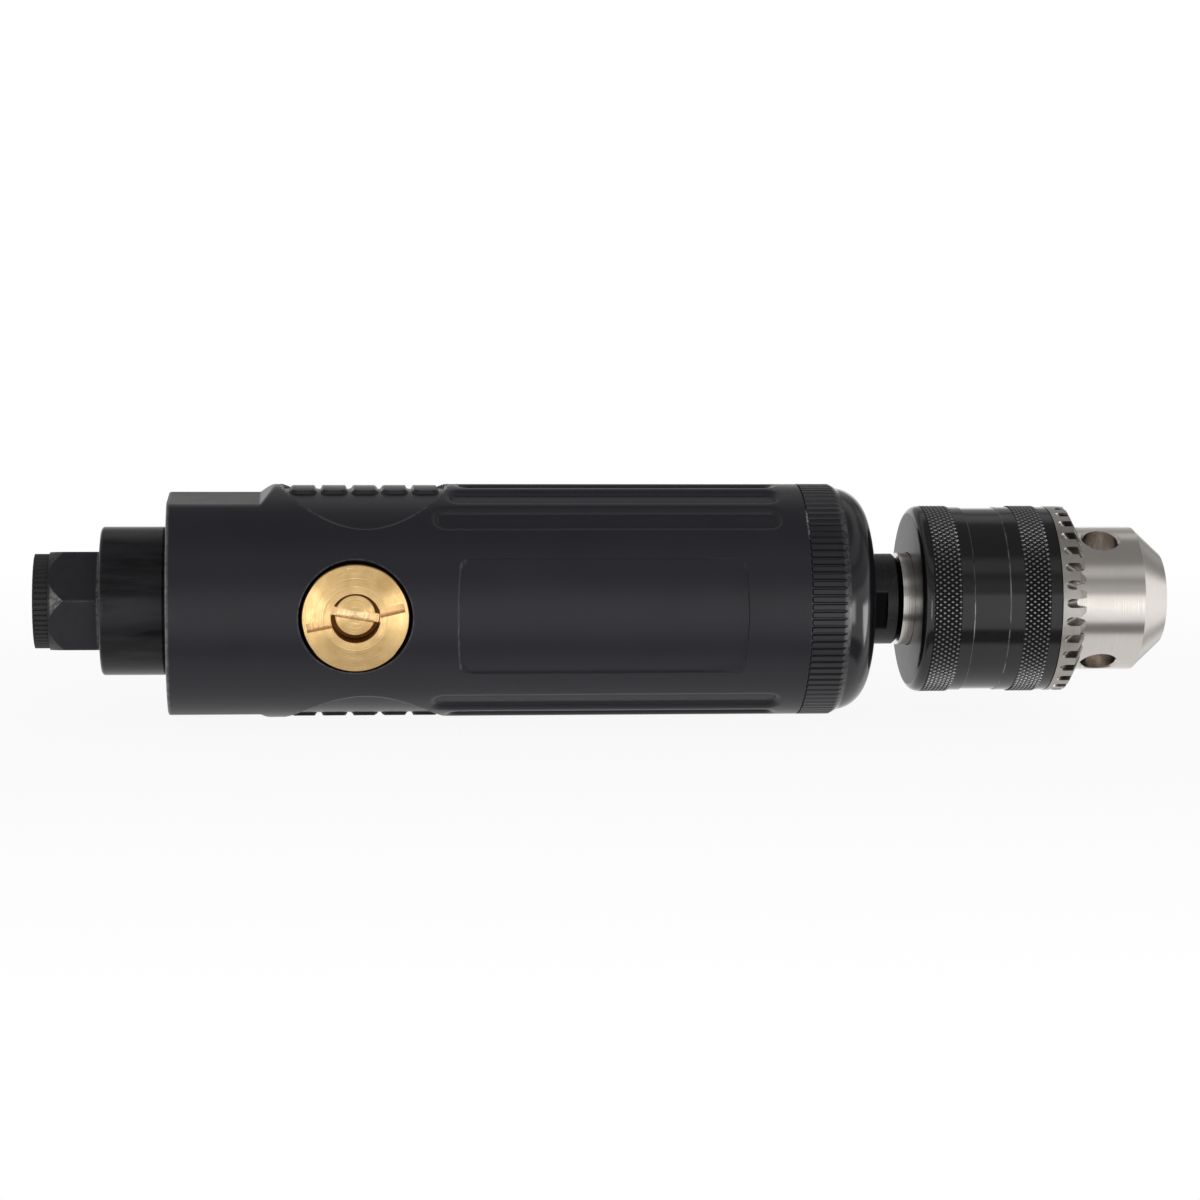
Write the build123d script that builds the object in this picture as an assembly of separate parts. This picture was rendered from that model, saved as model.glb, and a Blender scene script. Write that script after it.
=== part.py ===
"""Straight air drill with a keyed three-jaw chuck.

Lengths are in millimetres and angles in degrees. X runs along the spindle and
counts from the rear face of the grip housing towards the chuck. The pieces are
drawn with the flow regulator on +Z and the throttle lever on -Z, and angles
round the axis count from +Z towards +Y. On saving, the drill is laid on its
side, with +Y turned up, and moved back so that the origin lies on the axis at
the mouth of the chuck.
"""
from build123d import *
import math
import os

# Clearances
run_gap = 0.05
seat_gap = 0.02
face_gap = 0.2
past = 1.0

# Grip housing
body_radius = 21.6
body_length = 117.0
body_edge = 0.6
flat_length = 16.9
flat_left_depth = 2.45
flat_right_depth = 1.5
field_x = 36.0
field_radius = 15.2
field_depth = 0.9
field_spread = 2.1
pad_count = 5
pad_pitch = 5.58
pad_length = 4.7
pad_width = 8.4
pad_corner = 1.0
pad_sink = 0.2
groove_count = 5
groove_pitch_angle = 18.7
groove_floor = 3.6
groove_depth = 0.9
groove_flare_angle = 50.0
groove_corner = 1.4
groove_front = 113.0
groove_rear = 52.3
groove_step = 1.5
groove_sweep = 0.47
panel_rear = 53.1
panel_front = 104.7
panel_bulge = 0.6
panel_width = 21.2
panel_corner = 2.0
panel_depth = 0.4
housing_wall = 4.05
bulkhead = 1.7
plenum_step = 3.3
plenum_depth = 2.0
exhaust_radius = 1.6
exhaust_side = 2.6
exhaust_margin = 0.5
exhaust_inset = 1.5

# Air inlet
hex_flats = 18.0
hex_length = 9.2
hex_angle = 9.0
hex_bevel_angle = 64.0
shank_radius = 8.9
thread_radius = 8.0
thread_length = 13.5
pipe_radius = 5.7
pipe_length = 10.6
mouth_radius = 6.4
mouth_depth = 3.0
air_radius = 4.0
screen_radius = 4.9
screen_thickness = 0.6
screen_seat = 1.0
screen_hole = 0.4
screen_pitch = 1.25
screen_row_count = 3
plug_head_radius = 8.7
plug_head_length = 2.7
plug_stem_radius = 6.2
plug_stem_length = 2.6
plug_dish = 0.8
plug_rim = 1.6
plug_serration_count = 54
serration_depth = 0.25

# Exhaust deflector
collar_radius = 13.7
collar_length = 12.0
collar_wall = 1.4
collar_back = 2.0
collar_edge = 0.7
vent_count = 7
vent_pitch_angle = 17.0
vent_width = 1.8
vent_length = 6.0
muffler_gap = 0.4
ring_wire = 0.6

# Flow regulator
valve_x = 34.0
plug_radius = 9.75
plug_gap = 0.55
plug_sink = 0.4
plug_flange = 6.15
plug_edge = 0.2
cone_height = 0.55
cone_top_radius = 5.9
plug_thread_radius = 8.4
plug_thread_length = 8.5
plug_cavity_radius = 6.8
plug_floor = 1.5
plug_cavity_depth = 5.0
driver_width = 1.65
driver_depth = 2.0
driver_reach = 9.0
driver_angle = 12.0
screw_bore_radius = 4.5
screw_head_radius = 3.6
screw_sink = 3.7
screw_slot_width = 1.6
screw_slot_depth = 1.4
screw_slot_angle = 9.5
screw_neck_radius = 3.0
sleeve_disc = 1.0
sleeve_wall = 0.8
sleeve_gap = 0.3
sleeve_window = 8.0
chamber_gap = 0.2

# Throttle valve and lever
valve_floor = 4.0
valve_head_radius = 4.6
valve_head_length = 2.6
valve_pin_radius = 2.5
valve_tip_bevel = 1.2
pilot_radius = 2.4
pilot_length = 2.5
guide_radius = 5.0
guide_sink = 2.2
guide_chamber_radius = 3.6
guide_chamber_length = 5.5
port_radius = 2.4
port_depth = 2.6
spring_wire = 0.4
spring_turn_count = 5
spring_gap = 0.25
lever_x = 9.0
lever_tip = 104.0
lever_width = 13.0
lever_sheet = 1.6
lever_flange = 3.3
lever_corner = 5.0
lever_taper = 24.0
lever_lift = 0.7
lever_swing_angle = 8.0
lever_touch = 0.35
lug_gap = 0.3
lug_thickness = 2.6
lug_radius = 3.6
lever_pin_radius = 1.5

# Vane motor
motor_flat_depth = 2.3
rear_plate_length = 6.0
front_plate_length = 7.0
cylinder_wall = 4.3
cylinder_offset = 1.2
cylinder_slot_count = 5
cylinder_slot_width = 2.4
cylinder_slot_length = 16.0
intake_radius = 1.0
intake_spread_angle = 20.0
dowel_radius = 1.0
dowel_length = 8.0
rotor_touch = 0.1
rotor_side_gap = 0.1
blade_count = 5
blade_thickness = 1.7
blade_height = 5.8
blade_gap = 0.1
shaft_clearance = 0.4
rear_shaft_radius = 3.0
rear_bearing_radius = 7.5
front_shaft_step = 0.36
front_bearing_section = 4.0
motor_bearing_width = 5.0
ball_share = 0.27
race_share = 0.55
ball_spacing_share = 1.3

# Planetary gears
ring_wall = 2.38
sun_tooth_count = 12
planet_tooth_count = 18
planet_count = 3
pressure_angle = 25.0
addendum = 0.9
dedendum = 1.2
tooth_play = 0.05
flank_point_count = 5
gearbox_length = 15.8
planet_width = 8.0
planet_pin_radius = 2.0
carrier_wall = 1.2
carrier_length = 3.5

# Front cap, spindle and spindle bearing
cap_proud = 0.02
cap_knurl_length = 5.8
cap_flute_count = 96
flute_depth = 0.35
flute_land_share = 0.55
flute_flank_share = 0.15
cap_bevel_length = 1.4
cap_nose_step = 0.72
cap_length = 12.65
cap_dome = 6.0
cap_spigot = 4.5
cap_spigot_wall = 1.7
bearing_bore = 8.5
bearing_width = 10.0
bearing_seat = 5.8
seal_radius = 11.5
seal_length = 3.0
spindle_hole_gap = 0.3
spindle_reach = 6.45
spindle_flats = 15.2
spindle_flats_angle = -8.0
spindle_land = 2.9
spindle_bevel = 1.0
nose_thread_radius = 4.76
nose_thread_length = 12.4

# Chuck
chuck_length = 50.1
hub_radius = 8.65
hub_length = 2.2
chuck_radius = 13.55
cone_length = 5.35
mouth_face_radius = 8.7
grip_radius = 5.1
chuck_web = 1.5
key_hole_radius = 3.25
key_hole_floor = 8.0
key_hole_x = 12.5
key_hole_angle = 64.0
key_hole_bevel = 0.5
jaw_count = 3
jaw_radius = 2.8
jaw_slant_angle = 14.0
jaw_length = 33.0
jaw_travel = 20.0
jaw_overhang = 9.5
jaw_offset = 0.8
jaw_land = 0.4
jaw_split = 0.1
jaw_trim_gap = 0.5
nut_length = 5.0
nut_split = 0.4
nut_gap = 0.1
nut_groove_radius = 11.0
sleeve_radius = 17.5
sleeve_length = 26.0
sleeve_bore = 16.0
sleeve_back = 2.5
sleeve_edge = 1.9
knurl_rear_length = 5.2
knurl_front_start = 18.95
knurl_front_length = 4.85
knurl_rise = 0.2
waist_start = 9.55
waist_end = 16.15
waist_depth = 0.2
gear_ring_length = 5.2
gear_ring_land = 3.3
gear_ring_radius = 17.4
gear_ring_tooth_count = 32
gear_ring_spigot = 1.4
gullet_radius = 0.85
gullet_start = 1.7
gullet_end = 4.5

# Stations along the axis
hex_front = -(collar_length + 2 * face_gap)
hex_rear = hex_front - hex_length
pipe_front = hex_rear + mouth_depth + pipe_length
motor_rear = valve_x + plug_radius + plug_gap + bulkhead
plate_rear = motor_rear + plenum_depth
cylinder_rear = plate_rear + rear_plate_length
cap_front = body_length + cap_length
bearing_front = body_length + bearing_seat
bearing_rear = bearing_front - bearing_width
plate_front = bearing_rear - gearbox_length
cylinder_front = plate_front - front_plate_length
cylinder_length = cylinder_front - cylinder_rear
carrier_front = bearing_rear - 2 * face_gap
carrier_rear = carrier_front - carrier_length
planet_front = carrier_rear - 2 * face_gap
planet_rear = planet_front - planet_width
chuck_rear = cap_front + spindle_reach
sleeve_rear = chuck_rear + hub_length
sleeve_front = sleeve_rear + sleeve_length
ring_front = sleeve_front + gear_ring_length
mouth_x = chuck_rear + chuck_length
key_x = mouth_x - key_hole_x
nut_front = sleeve_front - gear_ring_spigot - 2 * face_gap
nut_rear = nut_front - nut_length
thread_end = chuck_rear + nose_thread_length

# Radii that follow from the body
motor_radius = body_radius - housing_wall - run_gap
motor_flat = motor_radius - motor_flat_depth
plenum_radius = motor_radius - plenum_step
cylinder_bore = motor_radius - cylinder_wall
rotor_radius = cylinder_bore - cylinder_offset - rotor_touch
exhaust_front_y = motor_radius - exhaust_inset
exhaust_rear_y = collar_radius - collar_wall - exhaust_radius - exhaust_margin
bearing_outer_radius = motor_radius
cap_radius = body_radius + cap_proud
cap_nose_radius = cap_radius - cap_nose_step
cap_spigot_radius = bearing_outer_radius + cap_spigot_wall

# Heights of the regulator and the throttle
plug_top = body_radius - plug_sink
rim_top = plug_top - cone_height
flange_bottom = rim_top - plug_flange
plug_bottom = flange_bottom - plug_thread_length
sleeve_disc_top = plug_bottom + plug_cavity_depth
screw_floor = sleeve_disc_top + plug_floor + 2 * seat_gap
sleeve_radius_valve = plug_cavity_radius - sleeve_gap
screw_top = plug_top - screw_sink
screw_collar_top = screw_top - screw_slot_depth
flange_hole_radius = plug_radius + plug_gap
valve_top = -valve_floor + valve_head_length
guide_top = -valve_floor - seat_gap
guide_bottom = -body_radius + guide_sink
port_z = guide_top - port_depth
lever_height = lever_flange + lever_sheet
ear_radius = lever_height / 2
lever_top = -(math.sqrt(body_radius**2 - (lever_width / 2) ** 2) + lever_lift)
pivot_z = lever_top - ear_radius
plate_offset = ear_radius - lever_sheet
lever_slope = math.radians(lever_swing_angle)
valve_reach = valve_x - lever_x
plate_rest_z = pivot_z - plate_offset / math.cos(lever_slope) - valve_reach * math.tan(lever_slope)
valve_tip_z = plate_rest_z + lever_touch

# Gear radii, from a ring gear that fills the housing
ring_tooth_count = sun_tooth_count + 2 * planet_tooth_count
gear_module = (motor_radius - ring_wall) / (ring_tooth_count / 2 + dedendum)
ring_pitch = gear_module * ring_tooth_count / 2
sun_pitch = gear_module * sun_tooth_count / 2
sun_tip = sun_pitch + addendum * gear_module
planet_pitch = gear_module * planet_tooth_count / 2
planet_orbit = sun_pitch + planet_pitch
carrier_radius = planet_orbit + planet_pin_radius + carrier_wall
front_shaft_radius = sun_tip + front_shaft_step
front_bearing_radius = front_shaft_radius + front_bearing_section

BASE = (Align.CENTER, Align.CENTER, Align.MIN)


def rod(radius, x0, x1, y=0.0, z=0.0):
    """Cylinder along X."""
    return Pos(x0, y, z) * Rot(0, 90, 0) * Cylinder(radius, x1 - x0, align=BASE)


def post(radius, z0, z1, x=valve_x, y=0.0):
    """Cylinder along Z."""
    return Pos(x, y, z0) * Cylinder(radius, z1 - z0, align=BASE)


def cross_rod(radius, y0, y1, x, z):
    """Cylinder along Y."""
    return Pos(x, y0, z) * Rot(-90, 0, 0) * Cylinder(radius, y1 - y0, align=BASE)


def block(x0, x1, y0, y1, z0, z1):
    """Box between six planes."""
    return Pos((x0 + x1) / 2, (y0 + y1) / 2, (z0 + z1) / 2) * Box(x1 - x0, y1 - y0, z1 - z0)


def tube(outer, inner, x0, x1):
    """Plain ring along X."""
    return rod(outer, x0, x1) - rod(inner, x0, x1)


def turned(*points):
    """Solid turned about X from (x, radius) points."""
    outline = Polyline(*[(x, 0, radius) for x, radius in points], close=True)
    return revolve(make_face(outline), Axis.X)


def turned_upright(*points):
    """Solid turned about the valve axis from (z, radius) points."""
    outline = Polyline(*[(radius, 0, z) for z, radius in points], close=True)
    return Pos(valve_x, 0, 0) * revolve(make_face(outline), Axis.Z)


def around(angle):
    """Turn a piece about X, from +Z towards +Y."""
    return Rot(-angle, 0, 0)


def o_ring(centre_radius, x):
    """Rubber ring round the axis."""
    return Pos(x, 0, 0) * Rot(0, 90, 0) * Torus(centre_radius, ring_wire)


def fluted(radius, depth, count, x0, x1):
    """Rod whose rim has narrow straight flutes."""
    pitch = 2 * math.pi / count
    floor = radius - depth
    tooth = (
        (0, radius),
        (flute_land_share, radius),
        (flute_land_share + flute_flank_share, floor),
        (1 - flute_flank_share, floor),
    )
    rim = []
    for k in range(count):
        for share, level in tooth:
            turn = (k + share) * pitch
            rim.append((x0, level * math.sin(turn), level * math.cos(turn)))
    return extrude(make_face(Polyline(*rim, close=True)), amount=x1 - x0, dir=(1, 0, 0))


# Grip housing


def housing_flat(depth, side):
    """Cutter for one side flat at the rear, with its ramp."""
    height = body_radius - depth
    rise = depth + past
    outline = Polyline(
        (-past, side * height),
        (flat_length, side * height),
        (flat_length + rise, side * (height + rise)),
        (-past, side * (height + rise)),
        close=True,
    )
    return extrude(make_face(outline), amount=body_radius, both=True)


def housing_field(side):
    """Cutter for the round field on one side."""
    disc = cross_rod(field_radius, 0, body_radius + past, field_x, 0)
    floor_radius = body_radius + field_spread
    floor_y = body_radius - field_depth - floor_radius
    disc -= rod(floor_radius, field_x - 2 * field_radius, field_x + 2 * field_radius, floor_y)
    return disc if side > 0 else mirror(disc, Plane.XZ)


def housing_pads(side):
    """Row of raised pads on one round field."""
    pads = []
    for k in range(pad_count):
        x = field_x + (k - (pad_count - 1) / 2) * pad_pitch
        outline = RectangleRounded(pad_length, pad_width, pad_corner)
        pad = extrude(Rot(-90, 0, 0) * outline, amount=body_radius, dir=(0, 1, 0))
        pad = Pos(x, 0, 0) * pad
        shell = tube(body_radius - pad_sink, body_radius - 2 * field_depth, x - pad_length, x + pad_length)
        pad = pad & shell
        pads.append(pad if side > 0 else mirror(pad, Plane.XZ))
    return pads


def housing_grooves():
    """Cutters for the lengthwise grip grooves on both sides, flat in the floor with flared walls."""
    lip = groove_depth * math.tan(math.radians(groove_flare_angle))
    cutters = []
    for side in (1, -1):
        for k in range(groove_count):
            step = k - (groove_count - 1) / 2
            rear = groove_rear - groove_step * abs(step) - groove_sweep * step**2 + lip
            front = groove_front - lip
            outline = RectangleRounded(front - rear, groove_floor, groove_corner)
            outline = Pos((rear + front) / 2, 0, body_radius - groove_depth) * outline
            groove = extrude(outline, amount=groove_depth + past, taper=-groove_flare_angle)
            cutters.append(around(side * (90 + step * groove_pitch_angle)) * groove)
    return cutters


def housing_panel():
    """Cutter for the shallow label panel, with ends that bulge a little."""
    half = (panel_front - panel_rear) / 2
    end_radius = ((panel_width / 2) ** 2 + panel_bulge**2) / (2 * panel_bulge)
    end_x = half + panel_bulge - end_radius
    outline = Rectangle(2 * (half + panel_bulge), panel_width)
    outline &= Pos(end_x, 0) * Circle(end_radius)
    outline &= Pos(-end_x, 0) * Circle(end_radius)
    outline = fillet(outline.vertices(), panel_corner)
    panel = extrude(Pos(panel_rear + half, 0, 0) * outline, amount=body_radius + past)
    return panel - rod(body_radius - panel_depth, panel_rear - end_radius, panel_front + end_radius)


def lever_lugs():
    """Two lugs that carry the lever pin."""
    inner = lever_width / 2 + lug_gap
    outer = inner + lug_thickness
    lugs = []
    for side in (1, -1):
        low, high = sorted((side * inner, side * outer))
        lug = cross_rod(lug_radius, low, high, lever_x, pivot_z)
        lug += block(lever_x - lug_radius, lever_x + lug_radius, low, high, pivot_z, -thread_radius - past)
        lugs.append(lug)
    return lugs


def slanted_exhaust(side):
    """Drilled passage from the motor flat back to the deflector."""
    front = Vector(plate_rear + past, exhaust_front_y, side * exhaust_side)
    rear = Vector(-past, exhaust_rear_y, side * exhaust_side)
    drill = Plane(origin=rear, z_dir=front - rear)
    return drill * Cylinder(exhaust_radius, (front - rear).length, align=BASE)


def housing_bores():
    """Cutters for everything inside the housing."""
    cutters = [
        rod(thread_radius + seat_gap, -past, thread_length + face_gap),
        rod(air_radius, 0, valve_x),
        post(flange_hole_radius, flange_bottom, body_radius + past),
        post(plug_thread_radius + seat_gap, plug_bottom, body_radius),
        post(plug_cavity_radius + chamber_gap, -valve_floor, body_radius),
        post(guide_radius + seat_gap, -body_radius - past, 0),
        rod(port_radius, valve_x, motor_rear + past, 0, port_z),
        rod(plenum_radius, motor_rear, plate_rear + past),
        rod(motor_radius + run_gap, plate_rear, body_length + past),
        rod(cap_spigot_radius + seat_gap, body_length - cap_spigot - face_gap, body_length + past),
        slanted_exhaust(1),
        slanted_exhaust(-1),
    ]
    lug_span = lever_width + 2 * (lug_gap + lug_thickness) + 2 * past
    cutters.append(cross_rod(lever_pin_radius, -lug_span / 2, lug_span / 2, lever_x, pivot_z))
    return cutters


def make_housing():
    shell = turned(
        (0, 0),
        (0, body_radius - body_edge),
        (body_edge, body_radius),
        (body_length, body_radius),
        (body_length, 0),
    )
    shell -= [housing_flat(flat_left_depth, 1), housing_flat(flat_right_depth, -1)]
    shell -= [housing_field(1), housing_field(-1)]
    shell += housing_pads(1) + housing_pads(-1)
    shell += lever_lugs()
    shell -= housing_grooves()
    shell -= housing_panel()
    shell -= housing_bores()
    return shell


# Air inlet


def make_inlet_bushing():
    corner = hex_flats / math.sqrt(3)
    turns = [math.radians(hex_angle + 60 * k) for k in range(6)]
    rim = [(hex_rear, corner * math.sin(turn), corner * math.cos(turn)) for turn in turns]
    head = extrude(make_face(Polyline(*rim, close=True)), amount=hex_length, dir=(1, 0, 0))
    drop = corner - hex_flats / 2
    head &= turned(
        (hex_rear, 0),
        (hex_rear, hex_flats / 2),
        (hex_rear + drop * math.tan(math.radians(hex_bevel_angle)), corner),
        (hex_front, corner),
        (hex_front, 0),
    )
    bushing = head + rod(shank_radius, hex_front, 0) + rod(thread_radius, 0, thread_length)
    bushing -= [
        rod(mouth_radius, hex_rear - past, hex_rear + mouth_depth),
        rod(pipe_radius, hex_rear, pipe_front),
        rod(screen_radius + seat_gap, pipe_front - past, pipe_front + screen_seat),
        rod(air_radius, pipe_front, thread_length + past),
    ]
    return bushing


def make_inlet_screen():
    start = pipe_front + screen_seat - screen_thickness
    disc = rod(screen_radius, start, start + screen_thickness)
    holes = []
    for row in range(1, screen_row_count + 1):
        for k in range(6 * row):
            turn = 2 * math.pi * k / (6 * row)
            reach = row * screen_pitch
            holes.append(
                rod(screen_hole, start - past, start + past, reach * math.sin(turn), reach * math.cos(turn))
            )
    return disc - holes


def make_dust_plug():
    head_front = hex_rear - run_gap
    head_rear = head_front - plug_head_length
    head = fluted(plug_head_radius, serration_depth, plug_serration_count, head_rear, head_front)
    dish = plug_head_radius - plug_rim
    head -= turned(
        (head_rear, 0),
        (head_rear, dish),
        (head_rear + plug_dish, dish - plug_dish),
        (head_rear + plug_dish, 0),
    )
    return head + rod(plug_stem_radius, head_front, head_front + plug_stem_length)


# Exhaust deflector


def make_deflector():
    rear = -collar_length - face_gap
    front = -face_gap
    collar = rod(collar_radius, rear, front)
    collar = fillet(collar.edges().filter_by(GeomType.CIRCLE), collar_edge)
    collar -= rod(collar_radius - collar_wall, rear + collar_back, front + past)
    collar -= rod(shank_radius + 2 * run_gap, rear - past, front)
    vent_x = (rear + collar_back + front) / 2
    for k in range(vent_count):
        turn = 180 + (k - (vent_count - 1) / 2) * vent_pitch_angle
        slot = extrude(SlotOverall(vent_length, vent_width), amount=collar_radius + past)
        collar -= around(turn) * Pos(vent_x, 0, 0) * slot
    return collar


def make_muffler():
    rear = -collar_length - face_gap + collar_back + muffler_gap
    front = -2 * ring_wire - 2 * muffler_gap - face_gap
    return tube(collar_radius - collar_wall - muffler_gap, shank_radius + 2 * muffler_gap, rear, front)


def make_deflector_seal():
    return o_ring(shank_radius + ring_wire + seat_gap, -ring_wire - seat_gap)


# Flow regulator


def make_regulator_plug():
    plug = turned_upright(
        (plug_bottom, plug_cavity_radius),
        (plug_bottom, plug_thread_radius),
        (flange_bottom, plug_thread_radius),
        (flange_bottom, plug_radius),
        (rim_top - plug_edge, plug_radius),
        (rim_top, plug_radius - plug_edge),
        (plug_top, cone_top_radius),
        (plug_top, screw_bore_radius),
        (screw_floor, screw_bore_radius),
        (screw_floor, screw_neck_radius + run_gap),
        (screw_floor - plug_floor, screw_neck_radius + run_gap),
        (screw_floor - plug_floor, plug_cavity_radius),
    )
    floor = plug_top - driver_depth
    notch = block(-driver_reach, driver_reach, -driver_width / 2, driver_width / 2, floor, body_radius)
    seal_z = flange_bottom + 2 * ring_wire
    groove_z0 = seal_z - ring_wire - seat_gap
    groove_z1 = seal_z + ring_wire + seat_gap
    plug -= Pos(valve_x, 0, 0) * Rot(0, 0, driver_angle) * notch
    plug -= post(plug_radius + past, groove_z0, groove_z1) - post(
        flange_hole_radius - 2 * ring_wire - 2 * seat_gap, groove_z0, groove_z1
    )
    return plug


def make_plug_seal():
    ring = Torus(flange_hole_radius - ring_wire - seat_gap, ring_wire)
    return Pos(valve_x, 0, flange_bottom + 2 * ring_wire) * ring


def screw_seal_z():
    """Height of the rubber ring on the regulator screw."""
    return screw_floor + seat_gap + (screw_collar_top - screw_floor) / 2


def make_regulator_screw():
    collar_radius_screw = screw_bore_radius - run_gap
    ring_z = screw_seal_z()
    groove_radius = screw_bore_radius - 2 * ring_wire - 2 * seat_gap
    screw = turned_upright(
        (sleeve_disc_top - sleeve_disc, 0),
        (sleeve_disc_top - sleeve_disc, screw_neck_radius),
        (screw_floor + seat_gap, screw_neck_radius),
        (screw_floor + seat_gap, collar_radius_screw),
        (ring_z - ring_wire - seat_gap, collar_radius_screw),
        (ring_z - ring_wire - seat_gap, groove_radius),
        (ring_z + ring_wire + seat_gap, groove_radius),
        (ring_z + ring_wire + seat_gap, collar_radius_screw),
        (screw_collar_top, collar_radius_screw),
        (screw_collar_top, screw_head_radius),
        (screw_top, screw_head_radius),
        (screw_top, 0),
    )
    slot = block(
        -plug_radius, plug_radius, -screw_slot_width / 2, screw_slot_width / 2, screw_collar_top, plug_top
    )
    return screw - Pos(valve_x, 0, 0) * Rot(0, 0, -screw_slot_angle) * slot


def make_screw_seal():
    ring = Torus(screw_bore_radius - ring_wire - seat_gap, ring_wire)
    return Pos(valve_x, 0, screw_seal_z()) * ring


def make_regulator_sleeve():
    disc_bottom = sleeve_disc_top - sleeve_disc
    bottom = -valve_floor + sleeve_wall
    sleeve = post(sleeve_radius_valve, bottom, sleeve_disc_top)
    sleeve -= post(sleeve_radius_valve - sleeve_wall, bottom - past, disc_bottom)
    sleeve -= post(screw_neck_radius, bottom, sleeve_disc_top + past)
    window_rear = valve_x - sleeve_radius_valve - past
    sleeve -= block(
        window_rear, valve_x, -sleeve_window / 2, sleeve_window / 2, bottom - past, bottom + sleeve_window
    )
    return sleeve


# Throttle valve and lever


def make_throttle_valve():
    return turned_upright(
        (valve_tip_z, 0),
        (valve_tip_z, valve_pin_radius - valve_tip_bevel),
        (valve_tip_z + valve_tip_bevel, valve_pin_radius),
        (-valve_floor, valve_pin_radius),
        (-valve_floor, valve_head_radius),
        (valve_top, valve_head_radius),
        (valve_top, pilot_radius),
        (valve_top + pilot_length, pilot_radius),
        (valve_top + pilot_length, 0),
    )


def make_valve_guide():
    guide = post(guide_radius, guide_bottom, guide_top)
    guide -= post(valve_pin_radius + run_gap, guide_bottom - past, guide_top + past)
    guide -= post(guide_chamber_radius, guide_top - guide_chamber_length, guide_top + past)
    guide -= rod(port_radius, valve_x, valve_x + 2 * guide_radius, 0, port_z)
    seal_z = guide_bottom + 3 * ring_wire
    guide -= post(
        valve_pin_radius + 2 * ring_wire + run_gap + seat_gap,
        seal_z - ring_wire - seat_gap,
        seal_z + ring_wire + seat_gap,
    )
    return guide


def make_guide_seal():
    ring = Torus(valve_pin_radius + ring_wire + run_gap, ring_wire)
    return Pos(valve_x, 0, guide_bottom + 3 * ring_wire) * ring


def biarc(start, start_dir, end, end_dir):
    """Two tangent arcs from one directed point to another."""
    span = end - start
    both = start_dir + end_dir
    spread = 2 * (1 - start_dir.dot(end_dir))
    reach = (math.sqrt(span.dot(both) ** 2 + spread * span.dot(span)) - span.dot(both)) / spread
    middle = (start + start_dir * reach + end - end_dir * reach) * 0.5
    middle_dir = (middle - start - start_dir * reach).normalized()
    return [TangentArc(start, middle, tangent=start_dir), TangentArc(middle, end, tangent=middle_dir)]


def make_valve_spring():
    """Coil between the valve head and the disc of the regulator sleeve."""
    low = valve_top + spring_wire + seat_gap
    high = sleeve_disc_top - sleeve_disc - spring_wire - spring_gap
    coil_radius = sleeve_radius_valve - sleeve_wall - spring_wire - spring_gap
    coil_radius = min(coil_radius, valve_head_radius - spring_wire)
    rise = (high - low) / spring_turn_count
    quarters = 4 * spring_turn_count

    def point(k):
        turn = math.pi * k / 2
        return Vector(coil_radius * math.cos(turn), coil_radius * math.sin(turn), low + rise * k / 4)

    def heading(k):
        turn = math.pi * k / 2
        slope = rise / (2 * math.pi)
        return Vector(-coil_radius * math.sin(turn), coil_radius * math.cos(turn), slope).normalized()

    path = []
    for k in range(quarters):
        path += biarc(point(k), heading(k), point(k + 1), heading(k + 1))
    section = Plane(origin=point(0), z_dir=heading(0)) * Circle(spring_wire)
    print("valve spring, least gap between turns:", round(rise - 2 * spring_wire, 2), "mm")
    return Pos(valve_x, 0, 0) * sweep(section, path=Wire([edge for arc in path for edge in arc.edges()]))


def make_throttle_lever():
    """Bent sheet channel, shaped pressed home and then let out to rest."""
    half = lever_width / 2
    plate_z = pivot_z - ear_radius
    lever = block(lever_x, lever_tip, -half, half, plate_z, lever_top)
    lever = fillet(lever.edges().filter_by(Axis.Z).group_by(Axis.X)[-1], lever_corner)
    lever += cross_rod(ear_radius, -half, half, lever_x, pivot_z)
    inner = half - lever_sheet
    floor_z = plate_z + lever_sheet
    rear = lever_x - lever_height
    lever -= block(rear, lever_tip - lever_sheet, -inner, inner, floor_z, lever_top + past)
    taper = Polyline(
        (lever_tip - lever_taper, lever_top + past),
        (lever_tip - lever_taper, lever_top),
        (lever_tip, floor_z),
        (lever_tip + past, floor_z),
        (lever_tip + past, lever_top + past),
        close=True,
    )
    lever -= extrude(Plane.XZ * make_face(taper), amount=half + past, both=True)
    lever -= cross_rod(lever_pin_radius + run_gap, -half - past, half + past, lever_x, pivot_z)
    return Pos(lever_x, 0, pivot_z) * Rot(0, lever_swing_angle, 0) * Pos(-lever_x, 0, -pivot_z) * lever


def make_lever_pin():
    reach = lever_width / 2 + lug_gap + lug_thickness
    return cross_rod(lever_pin_radius, -reach, reach, lever_x, pivot_z)


# Bearings


def make_bearing(bore, outer, width, rear):
    """Outer race, inner race and balls of one ball bearing."""
    pitch = (bore + outer) / 2
    ball = ball_share * (outer - bore)
    track = Pos(rear + width / 2, 0, 0) * Rot(0, 90, 0) * Torus(pitch, ball + run_gap)
    outer_race = tube(outer, pitch + race_share * ball, rear, rear + width) - track
    inner_race = tube(pitch - race_share * ball, bore, rear, rear + width) - track
    count = int(math.pi * pitch / (ball * ball_spacing_share))
    balls = []
    for k in range(count):
        balls.append(around(360 * k / count) * Pos(rear + width / 2, 0, pitch) * Sphere(ball))
    return outer_race, inner_race, Compound(children=balls)


# Vane motor


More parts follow.
